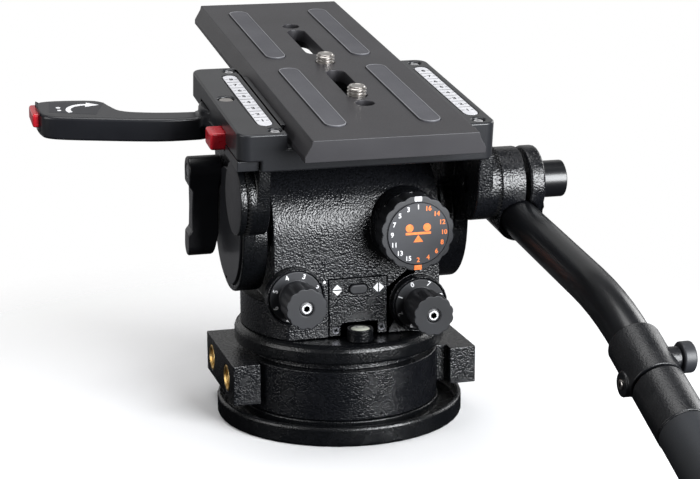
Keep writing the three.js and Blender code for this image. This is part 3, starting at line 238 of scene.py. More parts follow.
# %% Anodised aluminium
def anodised(name, dark, light, roughness, metallic):
    material, tree, shader = new_surface(name, IOR=1.5, Metallic=metallic)
    mottle(tree, shader, 26, dark, light)
    grit = speckle(tree, 0.5, 2, 0.7)
    roughen(tree, shader, grit, roughness - 0.05, roughness + 0.05)
    relief(tree, shader, grit, 0.012)
    return material


# name, two close shades, roughness, share of bare metal
plate_grey = anodised("aluminium_blasted_grey_anodised", "#2B2A2D", "#323134", 0.43, 0.15)
platform_grey = anodised("aluminium_blasted_dark_anodised", "#212225", "#28292C", 0.33, 0.2)
print("made", plate_grey.name, platform_grey.name)

# %% [markdown]
# ## Smooth black finishes
# The levers and the handle tube are painted satin black and the knobs are moulded in black
# plastic. Both are smooth, and what tells them apart is the sheen: paint has a tighter
# highlight, and a moulded face has a fine spark-eroded texture that scatters it.


# %% Satin paint and moulded plastic
def smooth_black(name, dark, light, roughness, texture, depth, coat=0.0):
    material, tree, shader = new_surface(name, IOR=1.48, Coat_Weight=coat, Coat_Roughness=0.12)
    mottle(tree, shader, 15, dark, light)
    fine = speckle(tree, texture, 2, 0.6)
    roughen(tree, shader, fine, roughness - 0.02, roughness + 0.03)
    relief(tree, shader, fine, depth)
    return material


# name, two close shades, roughness, width and depth of the texture in mm, clear coat
satin_paint = smooth_black("steel_satin_black_paint", "#0B0C0E", "#101114", 0.3, 0.9, 0.006, 0.15)
lever_paint = smooth_black("zinc_satin_black_paint", "#15161A", "#1B1C20", 0.34, 0.8, 0.008, 0.1)
moulded_black = smooth_black("abs_moulded_black", "#1E1F22", "#25262A", 0.46, 0.55, 0.014)
printed_foil = smooth_black("aluminium_printed_foil", "#2B2C30", "#333439", 0.42, 0.6, 0.004)
lever_label_paint = smooth_black("zinc_label_paint", "#1D1E22", "#24252A", 0.42, 0.8, 0.006)
moulded_grey = smooth_black("abs_moulded_dark_grey", "#2C2C30", "#343438", 0.5, 0.5, 0.014)
cover_paint = smooth_black("zinc_satin_grey_paint", "#202125", "#27282C", 0.36, 0.8, 0.008, 0.1)
print("smooth finishes so far:", len(bpy.data.materials))

# %% [markdown]
# ## Rubber
# The pads on the plate are soft rubber. Each has a thin lip, coloured lighter than the pad as a
# painted highlight.
# The grip is moulded rubber foam, so it is dull, with fine pores and a bluish cast.


# %% Rubber
def rubber(name, dark, light, pore, depth, roughness):
    material, tree, shader = new_surface(name, IOR=1.52)
    mottle(tree, shader, 20, dark, light)
    pores = speckle(tree, pore, 4, 0.65)
    roughen(tree, shader, pores, roughness + 0.06, roughness - 0.06)
    relief(tree, shader, pores, depth)
    return material


# name, two close shades, width and depth of a pore in mm, roughness
pad_rubber = rubber("rubber_moulded_pad", "#414146", "#4A4A4F", 0.6, 0.02, 0.58)
# painted highlight: the lip is much lighter than the pad
lip_rubber_painted_highlight = rubber("rubber_lip_painted_highlight", "#6E6E72", "#7C7C80", 0.6, 0.01, 0.45)
grip_rubber = rubber("rubber_foam_grip", "#080B10", "#0E1218", 0.5, 0.03, 0.66)
print("made", pad_rubber.name, lip_rubber_painted_highlight.name, grip_rubber.name)

# %% [markdown]
# ## Bare metals
# The camera screws are stainless steel and the thread inserts are brass, both turned on a
# lathe. The tool's marks are too fine to draw one by one, so a noise in the roughness stands
# for them. A metal keeps the default IOR, because its colour is its reflection.


# %% Turned metals
def turned_metal(name, dark, light, roughness, scratch):
    material, tree, shader = new_surface(name, Metallic=1.0)
    mottle(tree, shader, 2.5, dark, light)
    fine = speckle(tree, scratch, 3, 0.7)
    roughen(tree, shader, fine, roughness - 0.06, roughness + 0.08)
    relief(tree, shader, fine, 0.003)
    return material


# name, two close shades, roughness, width of a scratch in mm
steel = turned_metal("stainless_steel_turned", "#B4B0AC", "#C6C2BE", 0.33, 0.9)
plated = turned_metal("steel_zinc_plated", "#DDDDDF", "#ECECEE", 0.46, 0.5)
blackened = turned_metal("steel_blackened_screw", "#707075", "#828287", 0.3, 0.4)
brass = turned_metal("brass_turned", "#D0A860", "#EBCB8C", 0.42, 0.4)
bearing_steel = turned_metal("bearing_steel_ground", "#8C8D90", "#A5A6A9", 0.3, 0.6)
print("metals:", steel.name, plated.name, blackened.name, brass.name, bearing_steel.name)

# %% [markdown]
# ## Red buttons, white scales, inks and the level's fluid
# The release buttons are glossy red plastic. The scales are white enamelled strips, and their
# figures are black ink. The inks on the dials are matt, a little uneven, and lie on the face.
# The level's glass and fluid are one pale body under a clear coat. A deep gap gets dull black,
# which is painted shade.


# %% Coloured finishes
def coloured(name, dark, light, roughness, size, **inputs):
    material, tree, shader = new_surface(name, **inputs)
    mottle(tree, shader, size, dark, light, 2)
    roughen(tree, shader, speckle(tree, size / 4), roughness - 0.05, roughness + 0.05)
    relief(tree, shader, speckle(tree, size / 8), 0.005)
    return material


# name, two close shades, roughness, width of a patch in mm
red_plastic = coloured("abs_moulded_red", "#B81826", "#CA2230", 0.3, 8, IOR=1.5, Coat_Weight=0.3)
white_enamel = coloured("steel_white_enamel", "#C4C4C8", "#D2D2D6", 0.42, 10, IOR=1.5)
gap_painted_shade = coloured("shadow_gap_black", "#020202", "#050506", 0.9, 1.5, IOR=1.3)
black_ink = coloured("ink_black_printed", "#17171A", "#26262A", 0.6, 1.5, IOR=1.45)
white_ink = coloured("ink_white_printed", "#DCDCDE", "#EEEEF0", 0.55, 1.5, IOR=1.45)
orange_ink = coloured("ink_orange_printed", "#E8702C", "#F58A45", 0.55, 1.5, IOR=1.45)
fluid = coloured("glass_level_fluid", "#D2D4C4", "#E2E4D6", 0.08, 6, IOR=1.49, Coat_Weight=1.0)
bubble_clear = coloured("glass_level_bubble", "#E4E8C8", "#F0F3DC", 0.06, 4,
                        IOR=1.33, Coat_Weight=1.0)
print("materials:", len(bpy.data.materials))

# %% [markdown]
# ## Rounding the edges of the solids
# No real edge is sharp. A radius of a third of a millimetre is enough to catch the light as a
# thin bright line, and that line is most of what makes a machined or cast part look solid.
# Whatever is built here becomes a piece in one way: it is put in its place, shaded smooth up to
# a given angle, given its material, and tied to the body that it moves with.

# %% Make a piece from a bmesh
pieces_made = []


def new_object(name, data):
    made = bpy.data.objects.new(name, data)
    bpy.context.scene.collection.objects.link(made)
    return made


def as_piece(name, bm, body, material, place=IN_PLACE, replaces=(), smooth_angle=38):
    """Places a mesh that was built in a part's frame, and makes it ride on its body.
    An edge that turns more than the smooth angle stays a visible edge."""
    bm.transform(place)
    for face in bm.faces:
        face.smooth = True
    for edge in bm.edges:
        edge.smooth = edge.is_manifold and edge.calc_face_angle(0) < math.radians(smooth_angle)
    mesh = bpy.data.meshes.new(name)
    bm.to_mesh(mesh)
    bm.free()
    if "custom_normal" in mesh.attributes:      # the CAD's normals don't fit rounded faces
        mesh.attributes.remove(mesh.attributes["custom_normal"])
    mesh.materials.append(material)
    piece = new_object(name, mesh)
    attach(piece, body)
    if replaces:
        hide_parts(*replaces)
    pieces_made.append(name)
    return piece


def flat_normals(piece):
    """Keeps the flats flat beside their rounded edges."""
    normals = piece.modifiers.new("keep_flats", "WEIGHTED_NORMAL")
    normals.weight = 50
    normals.keep_sharp = True


# %% [markdown]
# A CAD node's mesh is loose triangles, so a copy of it is merged, its flat faces are joined
# again, and the Bevel operator rounds every edge sharper than a facet of a curve. Then any
# corner that a bevel threw off the surface is put back on it. The copy replaces its node.

# %% Copy a solid and round it
SAME_POINT = 0.002 * MM             # corners this close are one
SHORT_EDGE = 0.15 * MM              # an edge shorter than this would spoil a bevel
FLAT = math.radians(0.6)            # faces that turn less than this are one flat
SHARP = math.radians(26)            # an edge that turns more than this is rounded
STRAY = 0.75                        # of the radius: farther off the surface is a stray corner
FINE_RADIUS = 0.75                  # a larger radius gets one step more


def merged_copy(name):
    bm = bmesh.new()
    bm.from_mesh(frame["nodes"][name].data)
    bmesh.ops.remove_doubles(bm, verts=bm.verts, dist=SAME_POINT)
    return bm


def bevel(bm, edges, radius, segments=2):
    bmesh.ops.bevel(bm, geom=edges, offset=radius, offset_type="OFFSET", segments=segments,
                    profile=0.5, affect="EDGES", clamp_overlap=False, material=-1)


def round_edges(bm, radius):
    surface = BVHTree.FromBMesh(bm)
    bmesh.ops.dissolve_degenerate(bm, dist=SHORT_EDGE, edges=bm.edges)
    bmesh.ops.dissolve_limit(bm, angle_limit=FLAT, verts=bm.verts, edges=bm.edges)
    sharp = [e for e in bm.edges if e.is_manifold and e.calc_face_angle(0) > SHARP]
    bevel(bm, sharp, radius * MM, segments=3 if radius > FINE_RADIUS else 2)
    for vert in bm.verts:
        near, _, _, far = surface.find_nearest(vert.co)
        if near is not None and far > radius * STRAY * MM:
            vert.co = near


def finish_solid(name, material, radius):
    bm = merged_copy(name)
    round_edges(bm, radius)
    flat_normals(as_piece(name + ".rounded", bm, frame["nodes"][name]["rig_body"], material,
                          replaces=[name], smooth_angle=50))


# %% [markdown]
# ## The castings, the platform and the levers
# Each solid gets the finish that the real one has and an edge radius that suits how it was
# made: castings and moulded knobs have softer edges than milled plates.

# %% Finish the solids that show
ROUNDED = {                     # the radius of each solid's edges, in millimetres
    smooth_coat: {"base_flange": 0.8, "turntable": 1.5, "cheek_left": 0.8, "rosette_cap": 0.4,
                  "level_cup": 0.35},
    powder_coat: {"pan_body": 0.5},
    ring_coat: {"wing_ring": 0.5, "front_panel": 0.3, "cheek_right": 0.8,
                "handle_clamp_inner": 0.5, "handle_clamp_outer": 1.4},
    fine_coat: {"grip_collar": 0.6, "grip_tube": 0.4},
    plate_grey: {"camera_plate": 0.35},
    platform_grey: {"platform": 1.0, "clamp_jaw": 0.3, "platform_cover": 0.4},
    satin_paint: {"handle_tube": 0.3, "handle_lock_knob": 0.6},
    cover_paint: {"cheek_cover_left": 0.4, "cheek_cover_right": 0.4},
    lever_paint: {"release_lever": 1.6, "tilt_lock_lever": 0.9, "pan_lock_lever": 0.8},
    moulded_black: {"tilt_drag_knob": 0.5, "pan_drag_knob": 0.5, "counterbalance_dial": 0.5,
                    "grip_collar_knob": 0.9, "level_light_button": 0.8},
    pad_rubber: {f"plate_pad_{x}_{y}": 0.25 for x in ("left", "right") for y in ("rear", "front")},
    grip_rubber: {"handle_grip": 0.8},
    red_plastic: {"release_button": 1.4, "lever_tip_button": 1.3},
    white_enamel: {"scale_strip_left": 0.12, "scale_strip_right": 0.12},
    steel: {"platform_pin": 0.4},
}
for finish, solids in ROUNDED.items():
    for solid, radius in solids.items():
        finish_solid(solid, finish, radius)
print("rounded", len(pieces_made), "solids")

# %% [markdown]
# ## The pieces that lie inside
# The bearings, the drag packs, the spindle and the shafts are hidden, but they are real parts,
# so they get ground steel and stay as the CAD made them.

# %% Finish the hidden solids
HIDDEN = ["pan_spindle", "pan_drag_cup", "pan_bearing", "tilt_bearing_left", "tilt_bearing_right",
          "tilt_drag_pack", "counterbalance_spring", "counterbalance_shaft", "tilt_axle",
          "tilt_lock_screw"]
for solid in HIDDEN:
    frame["nodes"][solid].data.materials[0] = bearing_steel
print("hidden solids:", len(HIDDEN))

# %% [markdown]
# ## Turned shapes
# Screws, threads and rings are turned parts. Each starts as a profile, which is a line of
# points (distance from the axis, height along it), and Spin sweeps it once round the axis.


# %% Spin a profile
WELD = 0.0005                           # points closer than this are one point
FLANKS = (0.08, 0.42, 0.58, 0.92)       # of the pitch: the foot, both sides of the crest, foot


def spun(profile, steps=40, closed=False):
    bm = bmesh.new()
    points = [bm.verts.new((r, 0, z)) for r, z in profile]
    edges = [bm.edges.new(pair) for pair in zip(points, points[1:])]
    if closed:
        edges.append(bm.edges.new((points[-1], points[0])))
    bmesh.ops.spin(bm, geom=points + edges, cent=(0, 0, 0), axis=(0, 0, 1), angle=math.tau,
                   steps=steps, use_merge=True)
    bmesh.ops.remove_doubles(bm, verts=bm.verts, dist=WELD)
    bmesh.ops.recalc_face_normals(bm, faces=bm.faces)
    return bm


def thread_profile(root, crest, bottom, top, pitch):
    """The zigzag of a screw thread between two heights."""
    turns = max(1, round((top - bottom) / pitch))
    step = (top - bottom) / turns
    line = []
    for i in range(turns):
        low = bottom + i * step
        line += [(r, low + flank * step) for r, flank in zip((root, crest, crest, root), FLANKS)]
    return line


print("a thread of 5 turns has", len(thread_profile(4, 5, 0, 8, 1.6)), "points")

# %% [markdown]
# ## Raising a head and sinking a hole
# A screw's head is a circle that is extruded, and narrowed at the top for a chamfer. Its hole is
# a loop of points that Bridge joins to the round edge, and that is then extruded down.


# %% Raise a face, sink a hole
def of_kind(geometry, kind):
    return [item for item in geometry if isinstance(item, kind)]


def raised(bm, faces, height, shrink=1.0):
    """Extrudes faces along Z, and gives the new top face."""
    made = bmesh.ops.extrude_face_region(bm, geom=faces)["geom"]
    verts = of_kind(made, bmesh.types.BMVert)
    bmesh.ops.translate(bm, verts=verts, vec=(0, 0, height))
    bmesh.ops.scale(bm, verts=verts, vec=(shrink, shrink, 1))
    return of_kind(made, bmesh.types.BMFace)[0]


def sink_hole(bm, top, rim, height, depth, shrink=1.0):
    """Cuts a hole into the top face: its rim is a loop of vertices in the XY plane."""
    outer = list(top.edges)
    bmesh.ops.delete(bm, geom=[top], context="FACES_ONLY")
    bmesh.ops.translate(bm, verts=rim, vec=(0, 0, height))
    inner = list({e for v in rim for e in v.link_edges})
    bmesh.ops.bridge_loops(bm, edges=outer + inner)
    down = bmesh.ops.extrude_edge_only(bm, edges=inner)["geom"]
    floor = of_kind(down, bmesh.types.BMVert)
    bmesh.ops.translate(bm, verts=floor, vec=(0, 0, -depth))
    bmesh.ops.scale(bm, verts=floor, vec=(shrink, shrink, 1))
    bmesh.ops.contextual_create(bm, geom=[e for e in of_kind(down, bmesh.types.BMEdge)
                                          if all(v in floor for v in e.verts)])
    bmesh.ops.remove_doubles(bm, verts=bm.verts, dist=WELD)
    bmesh.ops.recalc_face_normals(bm, faces=bm.faces)


def circle(bm, radius, sides, filled=False):
    return bmesh.ops.create_circle(bm, cap_ends=filled, segments=sides, radius=radius)["verts"]


print("heads and holes are ready")

# %% [markdown]
# ## Socket screws
# A hexagon socket screw has a round head with a chamfer, and a hole with six sides. Pieces that
# belong together, such as a head and its shank or all the figures of a dial, become one mesh.


# %% Socket screw, and joining parts
def socket_screw(head, height, socket, depth, chamfer, sides=32):
    bm = bmesh.new()
    circle(bm, head, sides, filled=True)
    shoulder = raised(bm, bm.faces[:], height - chamfer)
    top = raised(bm, [shoulder], chamfer, shrink=(head - chamfer) / head)
    sink_hole(bm, top, circle(bm, socket, 6), height, depth)
    return bm


def join_all(parts):
    """One bmesh from several, each placed by its matrix."""
    whole = bmesh.new()
    for bm, place in parts:
        bm.transform(place)
        scratch = bpy.data.meshes.new("scratch")
        bm.to_mesh(scratch)
        bm.free()
        whole.from_mesh(scratch)
        bpy.data.meshes.remove(scratch)
    return whole


print("socket screws and joined parts are ready")

# %% [markdown]
# ## Camera screws
# A camera screw is a wide foot that slides under the plate and a threaded stud that stands
# above it. The thread is 3/8 inch with 16 turns to the inch. It is spun as rings and not as a
# helix: at this size nobody sees the difference, and rings make a closed, clean mesh.


# %% Camera screws with their threads
THREAD_PITCH = 25.4 / 16
THREAD_CREST, THREAD_ROOT = 4.76, 3.8           # 3/8 inch is 9.525 mm across
FOOT_RADIUS, FOOT_HEIGHT, NECK_RADIUS = 6.4, 3, 4.3
FOOT_EDGE = 0.2


def camera_screw(node_name, body):
    low, high = span(node_name, TILT)
    centre = (low + high) / 2
    bottom, shoulder, top = low.z, low.z + FOOT_HEIGHT, high.z
    profile = [(0, bottom), (FOOT_RADIUS - FOOT_EDGE, bottom), (FOOT_RADIUS, bottom + FOOT_EDGE),
               (FOOT_RADIUS, shoulder - FOOT_EDGE), (FOOT_RADIUS - FOOT_EDGE, shoulder),
               (NECK_RADIUS, shoulder)]
    profile += thread_profile(THREAD_ROOT, THREAD_CREST, shoulder + FOOT_EDGE, top - 0.5,
                              THREAD_PITCH)
    profile += [(4.1, top - 0.35), (3.8, top), (2.9, top), (2.75, top - 0.12), (0, top - 0.12)]
    as_piece(node_name + ".threaded", spun(profile, 48), body, steel,
             TILT @ moved(centre.x, centre.y, 0), replaces=[node_name],
             smooth_angle=24)


camera_screw("camera_screw_front", "front_screw")
camera_screw("camera_screw_rear", "rear_screw")
print("camera screws threaded: 2")

# %% [markdown]
# ## Screws in the drag knobs
# A plated socket screw holds each drag knob on its shaft. Its head sits flush in the knob's
# face, so only the bright ring and the dark six-sided hole show.

# %% Screws in the two drag knobs
KNOBS = {"tilt": (-33.2, 72.9, "tilt_knob"), "pan": (31.1, 64.6, "pan_knob")}     # x, z, body
HEAD_HEIGHT, SHANK_RADIUS = 3.8, 2.6
for name, (x, z, body) in KNOBS.items():
    low, high = span(name + "_drag_screw")
    head = socket_screw(head=3.2, height=HEAD_HEIGHT, socket=1.7, depth=2.2, chamfer=0.9)
    tip, neck = low.y - high.y, -HEAD_HEIGHT
    shank = spun([(0, tip), (SHANK_RADIUS, tip), (SHANK_RADIUS, neck), (0, neck)], 24)
    bm = join_all([(head, moved(0, 0, neck)), (shank, IN_PLACE)])
    as_piece(name + "_drag_screw.socket", bm, body, plated, HEAD @ moved(x, low.y, z) @ TO_FRONT,
             replaces=[name + "_drag_screw"], smooth_angle=30)
print("screws made for", list(KNOBS))

# %% [markdown]
# ## Brass thread inserts
# Two brass inserts stand in each side block. Each is a tube with a chamfered mouth and an
# internal thread, so the spun profile is a closed loop that runs up the outside and back down
# the thread inside.

# %% Thread inserts
INSERT_RADIUS, INSERT_LENGTH = 6.75, 12
THREAD_WIDE, THREAD_NARROW = 4.9, 4.25      # this thread is inside, so its root is the wide part
for side, to_side in (("left", TO_LEFT), ("right", TO_RIGHT)):
    for end in ("rear", "front"):
        name = f"accessory_thread_{side}_{end}"
        low, high = span(name)
        centre = (low + high) / 2
        mouth = low.x if side == "left" else high.x
        inside = thread_profile(THREAD_WIDE, THREAD_NARROW, -11.6, -1.2, 1.3)
        profile = [(INSERT_RADIUS, -INSERT_LENGTH), (INSERT_RADIUS, -0.35), (6.4, 0), (5.7, 0),
                   (THREAD_WIDE, -0.9)]
        profile += inside[::-1] + [(THREAD_WIDE, -INSERT_LENGTH)]
        as_piece(name + ".tapped", spun(profile, 40, closed=True), "base", brass,
                 HEAD @ moved(mouth, centre.y, centre.z) @ to_side,
                 replaces=[name], smooth_angle=24)
print("inserts tapped: 4")

# %% [markdown]
# ## The bubble level
# The level is a small glass dome over yellow-green fluid, with a printed ring and a bubble
# under it. The dome is a spun arc, and the bubble is a flattened bead that sits at the top.

# %% Level vial and bubble
DOME_RISE, BUBBLE_RADIUS, BUBBLE_FLATNESS = 0.9, 1.5, 0.2
low, high = span("level_vial")
centre = (low + high) / 2
radius = (high.x - low.x) / 2
height = high.z - low.z
arc = [(radius * math.cos(math.radians(t)), height + DOME_RISE * (math.sin(math.radians(t)) - 1))
       for t in range(0, 90, 10)]
vial_place = HEAD @ moved(centre.x, centre.y, low.z)
as_piece("level_vial.dome", spun([(0, 0), (radius, 0)] + arc + [(0, height)]), "pan", fluid,
         vial_place, replaces=["level_vial"])
ring = spun([(1.9, -0.1), (2.15, -0.1), (2.15, 0), (1.9, 0)], closed=True)
as_piece("level_ring", ring, "pan", black_ink, vial_place @ moved(0, 0, height - 0.02))
bead = bmesh.new()
bmesh.ops.create_uvsphere(bead, u_segments=24, v_segments=12, radius=BUBBLE_RADIUS)
bmesh.ops.scale(bead, verts=bead.verts, vec=(1, 1, BUBBLE_FLATNESS))
as_piece("level_bubble", bead, "pan", bubble_clear, vial_place @ moved(0.3, 0.2, height - 0.28))
print("level vial is", round(2 * radius, 1), "mm across")

# %% [markdown]
# ## Printed figures
# Figures are text objects made into meshes, with a hair of thickness so that each is a closed
# body of ink. They are joined into one piece for each dial, because they are one print.


# %% Ink helpers
INK = 0.06                      # the thickness of a print
BOLDER = 0.022                  # of the size: how much each stroke grows on every side


def figure(text, size):
    curve = bpy.data.curves.new("figure", "FONT")
    curve.body = text
    curve.size = size
    curve.align_x = "CENTER"
    curve.align_y = "CENTER"
    curve.extrude = INK / 2
    curve.resolution_u = 3
    curve.offset = BOLDER * size
    holder = new_object("figure", curve)
    bpy.context.view_layer.update()
    mesh = bpy.data.meshes.new_from_object(holder)
    bm = bmesh.new()
    bm.from_mesh(mesh)
    bmesh.ops.remove_doubles(bm, verts=bm.verts, dist=WELD)
    bpy.data.objects.remove(holder)
    bpy.data.curves.remove(curve)
    bpy.data.meshes.remove(mesh)
    return bm


def bar(width, length, thick=INK):
    bm = bmesh.new()
    bmesh.ops.create_cube(bm, size=1)
    bmesh.ops.scale(bm, verts=bm.verts, vec=(width, length, thick))
    return bm


def flat_shape(outline, thick=INK):
    """A thin closed slab with this outline."""
    bm = bmesh.new()
    raised(bm, [bm.faces.new([bm.verts.new((x, y, 0)) for x, y in outline])], thick)
    bmesh.ops.recalc_face_normals(bm, faces=bm.faces)
    return bm


def triangle(base, height):
    """A triangle that points along +Y, with its base on the X axis."""
    return flat_shape([(-base / 2, 0), (base / 2, 0), (0, height)])


def round_dot(radius):
    return spun([(0, 0), (radius, 0), (radius, INK), (0, INK)], 20)


print("ink is", INK, "mm thick")

# %% [markdown]
# ## Figures on the drag knobs
# Each knob has eight steps. Its figures stand along the radius, so they turn with their place
# on the ring, and they grow anticlockwise: the number in use is the one beside the white dot.


# %% Figures on the drag knobs
def on_ring(radius, degrees, height):
    """A place on a knob's face, with its figure upright along the radius."""
    return turned("Z", -degrees) @ moved(0, radius, height)


FIRST_FIGURE = {"tilt": 156, "pan": -22}        # where the 0 is, clockwise from the top
KNOB_FIGURES, KNOB_FIGURE_SIZE, KNOB_CIRCLE = 8, 3.5, 11.2
SKIRT_FACE = -42                                # the y of the knobs' printed faces
for name, (x, z, body) in KNOBS.items():
    marks = []
    for i in range(KNOB_FIGURES):
        turn = FIRST_FIGURE[name] - 360 / KNOB_FIGURES * i
        marks.append((figure(str(i), KNOB_FIGURE_SIZE), on_ring(KNOB_CIRCLE, turn, INK / 2)))
    as_piece(name + "_knob_figures", join_all(marks), body, white_ink,
             HEAD @ moved(x, SKIRT_FACE, z) @ TO_FRONT)
print("knob figures made:", 2 * KNOB_FIGURES)

# %% [markdown]
# ## The counterbalance dial
# The dial has sixteen steps. Even ones are orange and run down the right side, odd ones are
# white and run up the left. They stand upright all round, unlike the figures on the knobs, so
# each one is only moved to its place on the circle and not turned.


# %% Figures on the counterbalance dial
DIAL_X, DIAL_Z, DIAL_STEPS = 25, 105, 16
FIGURE_CIRCLE, FIGURE_SIZE = 13.3, 3.3
low, high = span("counterbalance_dial")
dial = HEAD @ moved(DIAL_X, low.y, DIAL_Z) @ TO_FRONT


def upright_figures(numbers, first):
    """Figures that stand upright on the dial's circle, from one of its steps onwards."""
    marks = []
    for i, number in enumerate(numbers):
        turn = math.tau / DIAL_STEPS * (first + i)
        place = moved(FIGURE_CIRCLE * math.sin(turn), FIGURE_CIRCLE * math.cos(turn), INK / 2)
        marks.append((figure(str(number), FIGURE_SIZE), place))
    return marks


orange_marks = upright_figures(range(16, 0, -2), 1)
white_marks = upright_figures(range(15, 0, -2), 9)
print("dial figures:", len(orange_marks) + len(white_marks))

# %% [markdown]
# In the middle of the dial goes a plain sign for balance: a beam on a point, with a weight at
# each end. It says what the dial is for.

# %% Balance sign
FOIL_RADIUS, FOIL_PROUD = 15.35, 0.005
orange_marks += [
    (bar(13, 1.2), moved(0, 0.2, INK / 2)),         # the beam
    (triangle(5, 3.6), moved(0, -4.2, 0)),          # the point it rests on
    (round_dot(2), moved(-4.5, 3, 0)),              # the two weights
    (round_dot(2), moved(4.5, 3, 0)),
]
foil = spun([(0, -0.04), (FOIL_RADIUS, -0.04), (FOIL_RADIUS, FOIL_PROUD), (0, FOIL_PROUD)], 64)
as_piece("dial_face_foil", foil, "dial", printed_foil, dial)
as_piece("dial_figures_orange", join_all(orange_marks), "dial", orange_ink, dial)
as_piece("dial_figures_white", join_all(white_marks), "dial", white_ink, dial)
print("dial printed")

# %% [markdown]
# ## Index blocks
# A white block at the top of the rim and an orange one at the bottom say which row of figures
# to read. Each is a moulded block let into the rim, with its edges rounded. A fine groove parts
# the printed face from the rim, and a thin black ring in it is painted shade.

# %% Index blocks on the dial's rim
BLOCK_WIDTH, BLOCK_HEIGHT, BLOCK_DEPTH, BLOCK_EDGE = 3.9, 2.4, 1.2, 0.25
BLOCK_SUNK = 0.75               # how far its middle lies below the dial's face
for name, ink, y in (("dial_index_white", white_ink, 17.3),
                     ("dial_index_orange", orange_ink, -17.2)):
    block = bar(BLOCK_WIDTH, BLOCK_HEIGHT, BLOCK_DEPTH)
    bevel(block, block.edges[:], BLOCK_EDGE)
    flat_normals(as_piece(name, block, "dial", ink, dial @ moved(0, y, -BLOCK_SUNK)))
# painted shade: a black ring at the bottom of the groove
groove_shade_ring = spun([(15.65, -0.62), (16.1, -0.62), (16.1, -0.54), (15.65, -0.54)], 64, closed=True)
as_piece("dial_groove_shade", groove_shade_ring, "dial", black_ink, dial)
print("index blocks set: 2")

# %% [markdown]
# ## Signs on the front panel
# Two pairs of triangles show which knob is for tilting, up and down, and which for turning,
# left and right. A white dot beside each knob is the mark that its figures are read against.

# %% Signs on the front panel
low, high = span("front_panel")
panel = HEAD @ moved(0, low.y, 0) @ TO_FRONT
SIGN_BASE, SIGN_HEIGHT, HALF_GAP = 4.9, 2.5, 0.35
BODY_FACE = -36.62              # the y of the body's flat front
signs = []
for x, z, quarter in ((-10.8, 73.8, 0), (10.7, 73.8, 90)):
    for half_turn in (0, 180):
        here = moved(x, z, 0) @ turned("Z", quarter + half_turn) @ moved(0, HALF_GAP, 0)
        signs.append((triangle(SIGN_BASE, SIGN_HEIGHT), here))
as_piece("panel_signs", join_all(signs), "pan", white_ink, panel)
dots = [(round_dot(0.75), HEAD @ moved(-17.3, BODY_FACE, 78.3) @ TO_FRONT),
        (round_dot(0.65), HEAD @ moved(17.6, BODY_FACE, 68.9) @ TO_FRONT)]
as_piece("knob_index_dots", join_all(dots), "pan", white_ink)
print("panel signs:", len(signs), "triangles and", len(dots), "dots")

# %% [markdown]
# ## Cross-slot screws
# Two small black screws hold the panel. The slot is a circle of twelve points: with every third
# one pulled in it has four arms. It is sunk into a low head that narrows towards the top.


# %% Cross-slot screws
STAR_POINTS, STAR_RADIUS, PULLED_IN = 12, 0.62, 0.42    # the radius is a share of the head's
SLOT_TURN = 20                                          # degrees, as a hand leaves a screw


def cross_screw(head, height):
    bm = bmesh.new()
    circle(bm, head, 24, filled=True)
    top = raised(bm, bm.faces[:], height, shrink=0.86)
    star = circle(bm, head * STAR_RADIUS, STAR_POINTS)
    for i, vert in enumerate(star):
        if i % 3 == 0:
            vert.co *= PULLED_IN
    bmesh.ops.rotate(bm, verts=star, cent=(0, 0, 0), matrix=turned("Z", SLOT_TURN).to_3x3())
    sink_hole(bm, top, star, height, height * 0.8, shrink=0.7)
    return bm


crosses = [(cross_screw(2.1, 0.5), moved(x, z, -0.1)) for x, z in ((-11.7, 53), (12.2, 53.2))]
as_piece("panel_screws", join_all(crosses), "pan", blackened, panel, smooth_angle=28)
print("panel screws:", len(crosses))

# %% [markdown]
# ## Scales and screws on the platform
# A white strip is let into each side of the platform, with a line every 5 mm and a figure
# every 10 mm, so the plate can be set to the same place again.

# %% Scale lines and figures
CENTIMETRE = 10
STRIP_FIGURES, STRIP_FIGURE_SIZE, FIRST_AT = 8, 4.2, 7.6    # the first, from the front end
LINE_WIDTH, LONG_LINE, SHORT_LINE, SHORT_AT = 0.4, 6.2, 1.4, 2.4
marks = []
for strip in ("scale_strip_left", "scale_strip_right"):
    low, high = span(strip, TILT)
    x, z = (low.x + high.x) / 2, high.z + INK / 2
    for i in range(STRIP_FIGURES):
        y = low.y + FIRST_AT + CENTIMETRE * i
        marks.append((figure(str(i + 1), STRIP_FIGURE_SIZE), moved(x, y, z)))
        marks.append((bar(SHORT_LINE, LINE_WIDTH), moved(x - SHORT_AT, y, z)))
        marks.append((bar(SHORT_LINE, LINE_WIDTH), moved(x + SHORT_AT, y, z)))
        if i < STRIP_FIGURES - 1:
            marks.append((bar(LONG_LINE, LINE_WIDTH), moved(x, y + CENTIMETRE / 2, z)))
as_piece("scale_prints", join_all(marks), "tilt", black_ink, TILT)
print("scale lines and figures:", len(marks))

# %% [markdown]
# A socket screw sits in a round pocket past each end of a strip.

# %% Screws past the ends of the strips
POCKET_DEPTH = 3
low, high = span("platform", TILT)
screws = [(socket_screw(head=2.6, height=2.3, socket=1.2, depth=1.2, chamfer=0.6, sides=24),
           moved(x, y, high.z - POCKET_DEPTH))
          for x in (-50.2, 49.7) for y in (-64, 37)]
as_piece("strip_screws", join_all(screws), "tilt", plated, TILT, smooth_angle=30)
print("strip screws:", len(screws))

# %% [markdown]
# ## Lips of the rubber pads
# Each pad has a raised lip round its top. A lip follows the pad's outline, which has straight
# sides and round ends: four loops of points, two outside and two inside, are bridged in turn.


# %% Pad lips
END_STEPS = 12                  # the straight pieces that make one round end
LIP_INSET, LIP_WIDTH, LIP_RISE, LIP_SUNK = 0.02, 0.4, 0.12, 0.1


def stadium(low, high, inset):
    """The outline of a round-ended slab that lies along Y, this far inside its box."""
    centre, radius = (low.x + high.x) / 2, (high.x - low.x) / 2 - inset
    line = []
    for y, first in ((high.y - inset - radius, 0), (low.y + inset + radius, 180)):
        for i in range(END_STEPS + 1):
            turn = math.radians(first + 180 * i / END_STEPS)
            line.append((centre + radius * math.cos(turn), y + radius * math.sin(turn)))
    return line


